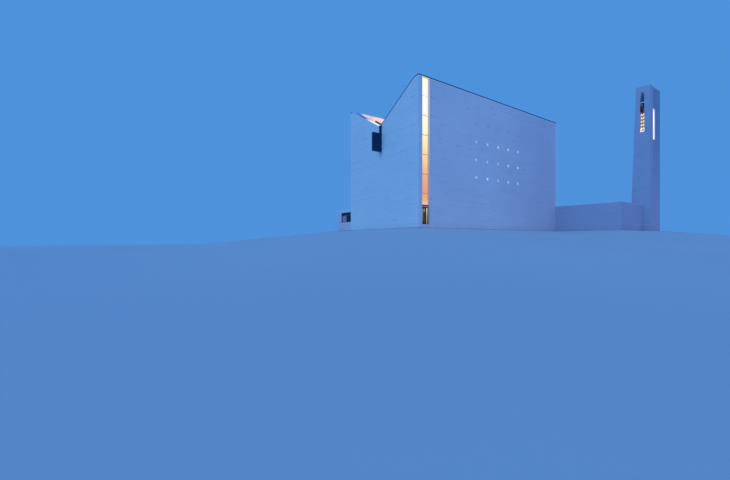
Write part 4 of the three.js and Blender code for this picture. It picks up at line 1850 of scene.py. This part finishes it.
@dataclass
class RainHopper:
    """The tall dark hopper under the valley, folded from steel, with its stem and the gutter over it."""

    box: Span = Span.of("rain_hopper")
    sheet: float = 0.006
    depth: float = 1.2
    stem_foot: float = 6.51
    stem_reach: float = 0.09
    stem_depth: float = 0.28
    rim_height: float = 0.02
    top_rim_height: float = 0.022
    rib_width: float = 0.016
    rib_depth: float = 0.005
    ribs: int = 3
    brackets_a_side: int = 3
    bracket_pitch: float = 0.5
    bracket_reach: float = 0.045
    outlet_inset: float = 0.12
    strap_start: float = 0.5
    strap_width: float = 0.04
    strap_pitch: float = 1.2

    def build(self) -> None:
        """Builds the hopper, and dresses the gutter and straps it."""
        dress(HOPPER_STEEL, "valley_gutter")
        tall = Range(self.box.foot, self.stem_foot)
        sides = ((self.box.front, Side.FRONT.value), (self.box.back, Side.BACK.value))
        parts = [self.trough("shell", self.box.x, self.box.y, tall, self.depth)]
        between = Range(tall.low + self.rim_height, tall.high - self.top_rim_height)
        depth, width = self.box.y.cut(-0.004), self.sheet + 0.003
        for rise in (Range(tall.low, between.low + 0.0005), Range(between.high, tall.high + 0.0005)):
            parts.append(ring("rim", self.box.x, depth, rise, Axis.Z, width, edge=SHEET_EDGE))
        parts += [self.face_ribs(between, *side) for side in sides]
        run, rise = self.box.x.from_high(-self.stem_reach, 0.0), Range(self.stem_foot - 0.03, self.box.head)
        parts.append(self.trough("stem", run, self.box.y, rise, self.stem_depth))
        parts += [self.brackets(*side) for side in sides]
        parts.append(self.collar())
        hopper = merge("folded_rain_hopper", *parts)
        install(hopper, HOPPER_STEEL, replaces="rain_hopper")
        self.gutter_straps()

    def trough(self, name: str, x: Range, y: Range, z: Range, depth: float) -> Part:
        """A box of thin sheet, open at its top.

        Args:
            name: Its name.
            x: From its left to its right.
            y: From its front to its back.
            z: From its foot to its head.
            depth: How deep it is inside.

        Returns:
            The box.
        """
        box = block(name, x, y, z)
        press(box, UP, inset=self.sheet, pull=(0.0, 0.0, -depth))
        return ease(box, SHEET_EDGE)

    def face_ribs(self, rise: Range, face: float, way: int) -> Part:
        """Upright ribs on the front or the back of the box.

        Args:
            rise: The ribs' stretch up it.
            face: Where the side stands.
            way: The way that it looks, by the sign of Y.

        Returns:
            The ribs.
        """
        spacing = self.box.x.length / self.ribs
        run = Range.around(self.box.left + spacing / 2, self.rib_width)
        rib = block("rib", run, Range.off(face, way, 0.0, self.rib_depth), rise, edge=SHEET_EDGE)
        return repeat(rib, self.ribs, Axis.X, spacing)

    def brackets(self, face: float, way: int) -> Part:
        """Angles with bolts that hold one side of the box on the wall.

        Args:
            face: Where the side stands.
            way: The way that it looks, by the sign of Y.

        Returns:
            The brackets.
        """
        run, rise = self.box.x.from_high(-0.006, 0.0), self.box.z.from_low(0.15, 0.21)
        depth = Range.off(face, way, 0.0, self.bracket_reach)
        plate = block("bracket", run, depth, rise, edge=SHEET_EDGE)
        y, z = face + way * 0.026, rise.middle
        start, end = (self.box.right - 0.014, y, z), (self.box.right - 0.005, y, z)
        bolt = rod("bolt", start, end, 0.007, 6, edge=FINE_EDGE)
        pair = merge("bracket", plate, bolt)
        return repeat(pair, self.brackets_a_side, Axis.Z, self.bracket_pitch)

    def collar(self) -> Part:
        """The outlet collar under the box.

        Returns:
            The collar.
        """
        x, y = self.box.right - self.outlet_inset, self.box.y.middle
        collar = rod("collar", (x, y, self.box.foot - 0.018), (x, y, self.box.foot + 0.002), 0.036, 24)
        press(collar, DOWN, inset=0.005, pull=(0.0, 0.0, 0.016))
        return ease(collar, FINE_EDGE)

    def gutter_straps(self) -> None:
        """Straps across the valley gutter, each with two bolts."""
        gutter = Span.of("valley_gutter")
        run = gutter.x.from_low(self.strap_start, self.strap_start + self.strap_width)
        rise = gutter.z.from_high(-0.001, 0.004)
        parts = [block("strap", run, gutter.y.cut(0.002), rise, edge=SHEET_EDGE)]
        for y in gutter.y.cut(0.012):
            start, end = (run.middle, y, gutter.head), (run.middle, y, gutter.head + 0.009)
            parts.append(rod("bolt", start, end, 0.006, 6, edge=FINE_EDGE))
        straps = merge("gutter_straps", *parts)
        count = int((gutter.x.length - 0.6) / self.strap_pitch)
        install(repeat(straps, count, Axis.X, self.strap_pitch), HOPPER_STEEL)


@dataclass
class LowWing:
    """The low wing beside the nave: its windows, sills, roof edge and roof felt."""

    near: Span = Span.of("wing_near_window_frame")
    far: Span = Span.of("wing_far_window_frame")
    bar: float = 0.03
    setback: float = 0.06
    frame_depth: float = 0.04
    bead_width: float = 0.006
    bead_depth: Range = Range(-0.03, -0.008)
    sill_rise: Range = Range(-0.001, 0.012)
    sill_fall: float = 0.004
    sill_reach: float = 0.064
    transom: float = 1.22
    side_windows: int = 3
    side_width: float = 1.2
    edge: float = 0.05
    edge_height: float = 0.01
    felt_width: float = 0.5
    felt_height: float = 0.006
    felt_laps: int = 12

    def build(self) -> None:
        """Dresses the wing's nodes and adds its window parts and roof edge."""
        dress(WING_STEEL, "wing_near_window_frame", "wing_far_window_frame")
        blind = DarkPane("wing_end_pane", blind_from=self.near.y.middle, blind_top=self.transom)
        dress(blind, "wing_near_window_glass")
        dress(DARK_GLASS, "wing_far_window_glass", "wing_side_glass")
        self.end_window("near", self.near, self.near.left, -1)
        self.end_window("far", self.far, self.far.right, 1)
        self.side_frames()
        self.roof_edge()

    def panes(self, run: Range, rise: Range) -> list[Pane]:
        """The panes of a window that is split by a mullion and a transom.

        Args:
            run: The window's stretch along the wall.
            rise: Its stretch up the wall.

        Returns:
            The four panes.
        """
        inner, tall = run.cut(self.bar), rise.cut(self.bar)
        mullion, cross = Range.around(run.middle, self.bar), Range.around(self.transom, self.bar)
        columns = (Range(inner.low, mullion.low), Range(mullion.high, inner.high))
        rows = (Range(tall.low, cross.low), Range(cross.high, tall.high))
        return [Pane(column, row) for column in columns for row in rows]

    def sill(self, name: str, x: Range, y: Range, foot: float, outward: Point) -> Part:
        """A sill that falls a little outwards.

        Args:
            name: The sill's name.
            x: From its left to its right.
            y: From its front to its back.
            foot: The window's foot.
            outward: The way out of the wall.

        Returns:
            The sill.
        """
        made = block(name, x, y, Range(foot, foot).from_low(*self.sill_rise))
        press(made, outward, move=(0.0, 0.0, -self.sill_fall))
        return ease(made, SHEET_EDGE)

    def end_window(self, end: str, box: Span, face: float, way: int) -> None:
        """Beads and a sill for the window in one end of the wing.

        Args:
            end: The end's name.
            box: The frame's box.
            face: The frame's outer face.
            way: The way out, by the sign of X.
        """
        glazing = Glazing(Axis.X, Range.off(face, way, *self.bead_depth), self.bead_width)
        install(glazing.beads(f"wing_{end}_beads", self.panes(box.y, box.z)), RUBBER)
        run = Range.off(face, way, 0.0, self.sill_reach)
        sill = self.sill(f"wing_{end}_sill", run, box.y, box.foot, (way, 0.0, 0.0))
        install(sill, WHITE_METAL)

    def side_frames(self) -> None:
        """Frames, beads and sills of the side wall's windows."""
        wall, rise = Span.of("wing_side_wall"), self.near.z
        pier = (wall.x.length - self.side_windows * self.side_width) / (self.side_windows + 1)
        run = wall.x.from_low(pier, pier + self.side_width).cut(SEAL)
        depth = wall.y.from_high(-self.setback - self.frame_depth, -self.setback)
        rim = ring("rim", run, depth, rise, Axis.Y, self.bar, edge=BAR_EDGE)
        upright, level = Range.around(run.middle, self.bar), Range.around(self.transom, self.bar)
        behind, deeper = Range(depth.low, depth.high - 0.002), Range(depth.low, depth.high - 0.004)
        mullion = block("mullion", upright, behind, rise.cut(self.bar), edge=BAR_EDGE)
        cross = block("cross", run.cut(self.bar), deeper, level, edge=BAR_EDGE)
        frames = merge("wing_side_frames", rim, mullion, cross)
        glazing = Glazing(Axis.Y, depth.from_high(*self.bead_depth), self.bead_width)
        beads = glazing.beads("wing_side_beads", self.panes(run, rise))
        ledge = Range(depth.high, wall.back - 0.002)
        sills = self.sill("wing_side_sills", run, ledge, rise.low, (0.0, 1.0, 0.0))
        for part in (frames, beads, sills):
            repeat(part, self.side_windows, Axis.X, pier + self.side_width)
        install(frames, WING_STEEL)
        install(beads, RUBBER)
        install(sills, WHITE_METAL)

    def roof_edge(self) -> None:
        """A white raised edge round the flat roof, and lapped strips of felt inside it."""
        roof = Span.of("wing_roof")
        rise = roof.z.from_high(-0.001, self.edge_height)
        edge = ring("wing_roof_edge", roof.x, roof.y, rise, Axis.Z, self.edge, edge=BOARD_EDGE, segments=2)
        install(edge, WHITE_METAL)
        inner = roof.x.cut(self.edge)
        rise = roof.z.from_high(-0.001, self.felt_height)
        run = inner.from_low(0.0, self.felt_width)
        felt = block("wing_roof_felt", run, roof.y.cut(self.edge), rise, edge=BAR_EDGE)
        lap = (inner.length - self.felt_width) / self.felt_laps
        install(repeat(felt, self.felt_laps + 1, Axis.X, lap), ROOFING)


@dataclass
class BellTower:
    """The slim tower: dressed walls, the lit slot and the bells' slot."""

    louvre: Span = Span.of("bell_slot_louvre")
    slot_rim: float = 0.01
    slot_bars: int = 2
    slats: int = 9
    slat_tilt: float = math.radians(32)
    slat_reach: float = 0.036
    slat_half: float = 0.0035
    stile: float = 0.02
    bar_height: float = 0.075
    # How thick the sheets of painted shade are
    lining: float = 0.004

    def build(self) -> None:
        """Dresses the tower and adds its pieces."""
        dress(TOWER_WALL, "tower_slab", "tower_side_wall", "tower_back_wall")
        dress(TOWER_FRONT, "tower_front_wall")
        dress(FLOOR, "tower_roof")
        for node, name, colours in (
            ("light_slot_glass", "light_slot_glow", LIGHT_SLOT_STOPS),
            ("bell_back_panel", "bell_panel_glow", PANEL_STOPS),
            ("bell_slot_sill", "sill_glow", SILL_STOPS),
        ):
            dress(Glow(name, Span.of(node).z, colours), node)
        self.light_slot()
        self.tilted_slats()
        self.slot_shade_lining()

    def light_slot(self) -> None:
        """A slim pale frame round the lit pane, with thin bars."""
        pane = Span.of("light_slot_glass")
        face, rim = pane.front - SEAL, self.slot_rim
        border = ring("rim", pane.x, Range(face - rim, face), pane.z, Axis.Y, rim, edge=SHEET_EDGE)
        pitch = pane.z.length / (self.slot_bars + 1)
        rise = Range.around(pane.foot + pitch, rim)
        bar = block("bar", pane.x.cut(rim), Range(face - rim / 2, face), rise, edge=SHEET_EDGE)
        repeat(bar, self.slot_bars, Axis.Z, pitch)
        install(merge("light_slot_frame", border, bar), ANODISED)

    def tilted_slats(self) -> None:
        """Tilted slats between two stiles, over a pale bottom bar."""
        inner = self.louvre.y.cut(self.stile)
        parts = [
            block("stile", self.louvre.x, stile, self.louvre.z, edge=BAR_EDGE)
            for stile in (Range(self.louvre.front, inner.low), Range(inner.high, self.louvre.back))
        ]
        foot = self.louvre.foot + self.bar_height
        pitch = (self.louvre.head - foot) / self.slats
        middle = self.louvre.x.middle
        run = Range(middle - self.slat_reach, middle + self.slat_reach)
        slat = block("slat", run, inner, Range(-self.slat_half, self.slat_half), edge=SHEET_EDGE)
        turn(slat, -self.slat_tilt, Axis.Y, (middle, 0.0, 0.0))
        shift(slat, (0.0, 0.0, foot + pitch / 2))
        parts.append(repeat(slat, self.slats, Axis.Z, pitch))
        # The slats' metal carries painted shade, darkest towards the foot of the recess, and painted blue
        # light up it
        metal = GradedMetal("louvre_metal", self.louvre.z, LOUVRE_STOPS, 0.75)
        install(merge("tilted_louvre", *parts), metal, replaces="bell_slot_louvre")
        run, rise = Range(self.louvre.left - 0.004, self.louvre.right), Range(self.louvre.foot, foot)
        bar = block("louvre_bar", run, self.louvre.y, rise, edge=BOARD_EDGE, segments=2)
        install(bar, WHITE_METAL)

    def slot_shade_lining(self) -> None:
        """Thin dark sheets on the sides of the bells' slot, round the large bell: painted shade for the
        slot's dim part, lighter towards the louvre.
        """
        run = Span.of("tower_slab").x.cut(0.01)
        rise = Range(Span.of("bell_back_panel").head, self.louvre.foot)
        sheets = [
            block("sheet", run, side, rise, edge=FINE_EDGE)
            for side in (self.louvre.y.from_low(0.0, self.lining), self.louvre.y.from_high(-self.lining, 0.0))
        ]
        # The sheets' metal is painted shade, with a little painted light near the louvre
        metal = GradedMetal("dark_lining_metal", rise, SLOT_SHADE_STOPS, 0.5)
        install(merge("bell_slot_lining", *sheets), metal)


@dataclass
class Bells:
    """The bells in the tower's slot: ten small ones on a rack, and the large one over them."""

    rows: int = 5
    pitch: float = 0.27
    lowest: float = 8.05
    radius: float = 0.06
    height: float = 0.13
    bar_lift: float = 0.012
    bar_height: float = 0.02
    large_radius: float = 0.11
    large_height: float = 0.25
    large_top: float = 10.0
    yoke_lift: float = 0.02
    yoke_size: Pair = (0.05, 0.04)
    strap_width: Pair = (0.03, 0.04)
    steps: int = 28
    clapper_drop: float = 0.8

    def build(self) -> None:
        """Builds the rack with its bells, and the large bell."""
        self.rack()
        self.large()

    def profile(self, radius: float, height: float) -> list[Pair]:
        """A hollow bell's outline, from its crown over the lip and back up inside.

        Args:
            radius: The bell's radius at its lip.
            height: Its height.

        Returns:
            Pairs of distance from its axis and height from its top.
        """
        crown = [(0.0, 0.0), (0.3, -0.01), (0.5, -0.06), (0.58, -0.16)]
        waist = [(0.62, -0.4), (0.7, -0.66), (0.74, -0.7), (0.75, -0.74), (0.78, -0.78)]
        lip = [(0.88, -0.9), (1.0, -0.98), (0.97, -1.0), (0.78, -0.88)]
        inside = [(0.6, -0.66), (0.52, -0.4), (0.46, -0.18), (0.0, -0.12)]
        return [(out * radius, up * height) for out, up in crown + waist + lip + inside]

    def bell(self, name: str, top: Point, radius: float, height: float) -> Part:
        """One hollow bell with a moulded waist, its hanger, and a clapper on its stem.

        Args:
            name: The bell's name.
            top: The top of its crown.
            radius: Its radius at its lip.
            height: Its height.

        Returns:
            The bell.
        """
        x, y, z = top
        hung = (x, y, z - self.clapper_drop * height)
        cast = spun(name, self.profile(radius, height), top, self.steps)
        stem = rod("stem", top, hung, 0.05 * radius, 8)
        ball = [(0.0, 0.12), (0.12, 0.09), (0.19, 0.0), (0.12, -0.09), (0.0, -0.12)]
        clapper = spun("clapper", [(out * radius, up * height) for out, up in ball], hung, 12)
        low, high = (x, y, z - 0.02 * height), (x, y, z + 0.12 * height)
        hanger = rod("hanger", low, high, 0.16 * radius, 12, edge=0.01 * radius)
        return merge(name, cast, stem, clapper, hanger)

    def rack(self) -> None:
        """Two bells to a row on bars between the slot's sides, on one upright post."""
        rack = Span.of("bell_rack")
        x, middle = rack.left + self.radius, rack.y.middle
        top = self.lowest + self.height
        bells = [
            self.bell("bell", (x, place, top), self.radius, self.height)
            for place in rack.y.cut(rack.y.length / 4)
        ]
        pair = repeat(merge("small_bells", *bells), self.rows, Axis.Z, self.pitch)
        install(pair, BELL_BRONZE, replaces="bell_rack")
        rise = Range(top, top).from_low(self.bar_lift, self.bar_lift + self.bar_height)
        bar = block("bar", Range(x - 0.01, x + 0.012), rack.y, rise, edge=BAR_EDGE)
        repeat(bar, self.rows, Axis.Z, self.pitch)
        depth, rise = Range.around(middle, 0.022), Range(rack.foot, rack.head + 0.02)
        post = block("post", Range(x + 0.01, x + 0.03), depth, rise, edge=BAR_EDGE)
        install(merge("bell_bars", bar, post), STEEL)

    def large(self) -> None:
        """The large bell on its yoke under the louvre."""
        node = Span.of("large_bell")
        x, y = node.x.middle, node.y.middle
        cast = self.bell("large_cast_bell", (x, y, self.large_top), self.large_radius, self.large_height)
        install(cast, SHADED_BELL_BRONZE, replaces="large_bell")
        foot = self.large_top + self.yoke_lift
        width, height = self.yoke_size
        rise = Range(foot, foot + height)
        yoke = block("yoke", Range.around(x, width), node.y.cut(0.02), rise, edge=0.006, segments=2)
        across, along = (Range.around(*both) for both in zip((x, y), self.strap_width))
        strap = block("hanger_strap", across, along, Range(foot + 0.03, node.head), edge=BOARD_EDGE)
        install(merge("bell_yoke", yoke, strap), STEEL)


@dataclass
class Studio:
    """The plain pale floor, the soft light and the camera at the photograph's place."""

    camera_place: Point = (-21.8, -19.1125, -0.75)
    camera_way: Point = (0.5551, 0.8318, 0.0)
    lens: float = 17.0
    sensor: float = 36.0
    sight: float = 400.0
    floor_half: float = 80.0
    floor_step: float = 0.5
    floor_drop: float = 0.002
    fall: float = 0.1
    deepest: float = 1.5
    soft_rounds: int = 24
    surround: Colour = srgb(79, 146, 220)
    key_colour: Point = (0.41, 0.75, 1.0)
    key_strength: float = 0.5
    key_way: Point = (0.9, 0.1, -0.42)
    side_colour: Point = (1.0, 0.46, 0.4)
    side_strength: float = 0.22
    side_way: Point = (0.05, 0.9, -0.42)
    sun_angle: float = math.radians(50)
    hall_place: Point = (-3.0, 0.0, 6.4)
    hall_size: float = 6.0
    hall_power: float = 260.0
    hall_colour: Point = (1.0, 0.8, 0.55)
    bell_way: Point = (0.3, 0.0, 1.0)
    bell_size: float = 0.12
    bell_power: float = 0.6
    bell_colour: Point = (1.0, 0.88, 0.7)

    def build(self) -> None:
        """Sets up the camera, the light and the floor."""
        self.camera()
        self.light()
        self.floor()

    def aim(self, thing: Part, way: Point) -> None:
        """Turns a camera or a lamp to look one way."""
        thing.rotation_mode = "QUATERNION"
        thing.rotation_quaternion = Vector(way).to_track_quat("-Z", "Y")

    def camera(self) -> None:
        """A level wide camera, lower than the church's foot, as the photograph was taken."""
        bpy.ops.object.camera_add(location=self.camera_place)
        camera = bpy.context.object
        self.aim(camera, self.camera_way)
        camera.data.lens = self.lens
        camera.data.sensor_width = self.sensor
        camera.data.clip_end = self.sight
        bpy.context.scene.camera = camera

    def light(self) -> None:
        """An even surround, two very soft lights on its two seen sides, and warm lamps inside."""
        scene = bpy.context.scene
        scene.view_settings.view_transform = "Standard"
        world = bpy.data.worlds.new("surround")
        world.use_nodes = True
        background = world.node_tree.nodes["Background"]
        background.inputs["Color"].default_value = self.surround
        background.inputs["Strength"].default_value = 1.0
        scene.world = world
        for name, way, strength, colour in (
            ("key_light", self.key_way, self.key_strength, self.key_colour),
            ("side_light", self.side_way, self.side_strength, self.side_colour),
        ):
            self.lamp("SUN", name, (0.0, 0.0, 0.0), way, strength, colour).angle = self.sun_angle
        hall = self.lamp("AREA", "hall_light", self.hall_place, DOWN, self.hall_power, self.hall_colour)
        hall.size = self.hall_size
        sill = Span.of("bell_slot_sill")
        place = (sill.left + 0.06, sill.y.middle, sill.head + 0.02)
        bell = self.lamp("AREA", "bell_light", place, self.bell_way, self.bell_power, self.bell_colour)
        bell.size = self.bell_size

    def lamp(
        self, kind: str, name: str, place: Point, way: Point, power: float, colour: Point
    ) -> bpy.types.Light:
        """Sets up one lamp.

        Args:
            kind: What sort of lamp it is.
            name: Its name.
            place: Where it hangs.
            way: The way that it shines.
            power: How strong it is.
            colour: The colour of its light.

        Returns:
            The lamp's own settings.
        """
        bpy.ops.object.light_add(type=kind, location=place)
        lamp = bpy.context.object
        lamp.name = name
        self.aim(lamp, way)
        lamp.data.energy = power
        lamp.data.color = colour
        return lamp.data

    def heights(self, x: np.ndarray, y: np.ndarray) -> np.ndarray:
        """The floor's heights: level with the walls' foot, and falling gently away from them.

        Args:
            x: The floor's points along the nave.
            y: The same points across it.

        Returns:
            Their heights.
        """
        away = np.full_like(x, np.inf)
        for nodes in (
            ("near_gable_wall", "far_gable_wall"), ("wing_near_wall", "wing_far_wall"),
            ("courtyard_wall_side",), ("courtyard_wall_front",), ("tower_slab", "tower_side_wall"),
        ):
            spans = [Span.of(node) for node in nodes]
            left, right = min(span.left for span in spans), max(span.right for span in spans)
            front, back = min(span.front for span in spans), max(span.back for span in spans)
            beyond_x = np.maximum(np.maximum(left - x, x - right), 0.0)
            beyond_y = np.maximum(np.maximum(front - y, y - back), 0.0)
            away = np.minimum(away, np.hypot(beyond_x, beyond_y))
        exact = -np.minimum(away * self.fall, self.deepest)
        soft = exact.copy()
        for _ in range(self.soft_rounds):
            soft[1:-1, 1:-1] = (soft[:-2, 1:-1] + soft[2:, 1:-1] + soft[1:-1, :-2] + soft[1:-1, 2:]) / 4
        return np.maximum(exact, soft) - self.floor_drop

    def floor(self) -> None:
        """A finely divided sheet whose points are set to those heights."""
        take()
        steps = int(2 * self.floor_half / self.floor_step)
        bpy.ops.mesh.primitive_grid_add(x_subdivisions=steps, y_subdivisions=steps, size=2 * self.floor_half)
        floor = settle("studio_floor")
        points = np.empty(len(floor.data.vertices) * 3, np.float32)
        floor.data.vertices.foreach_get("co", points)
        points = points.reshape(steps + 1, steps + 1, 3)
        points[..., 2] = self.heights(points[..., 0].astype(float), points[..., 1].astype(float))
        floor.data.vertices.foreach_set("co", points.ravel())
        floor.data.update()
        bpy.ops.object.shade_smooth()
        floor.data.materials.append(StageFloor("studio_floor").material())


def main() -> None:
    """Builds the church's looks, part by part, and the studio round it."""
    logging.basicConfig(level=logging.INFO, format="%(message)s")
    shape = RoofShape(Span.of("near_gable_wall").back, Span.of("front_eave_trim").head)
    for assembly in (
        Studio(),
        Masonry(),
        SlotWindow(),
        FootDoor(),
        SmallWindows(Side.FRONT, "front_window_glass"),
        SmallWindows(Side.BACK, "back_window_glass"),
        ButterflyRoof(shape),
        Rooflight(shape),
        RainHopper(),
        LowWing(),
        BellTower(),
        Bells(),
    ):
        assembly.build()


if __name__ == "__main__":
    main()
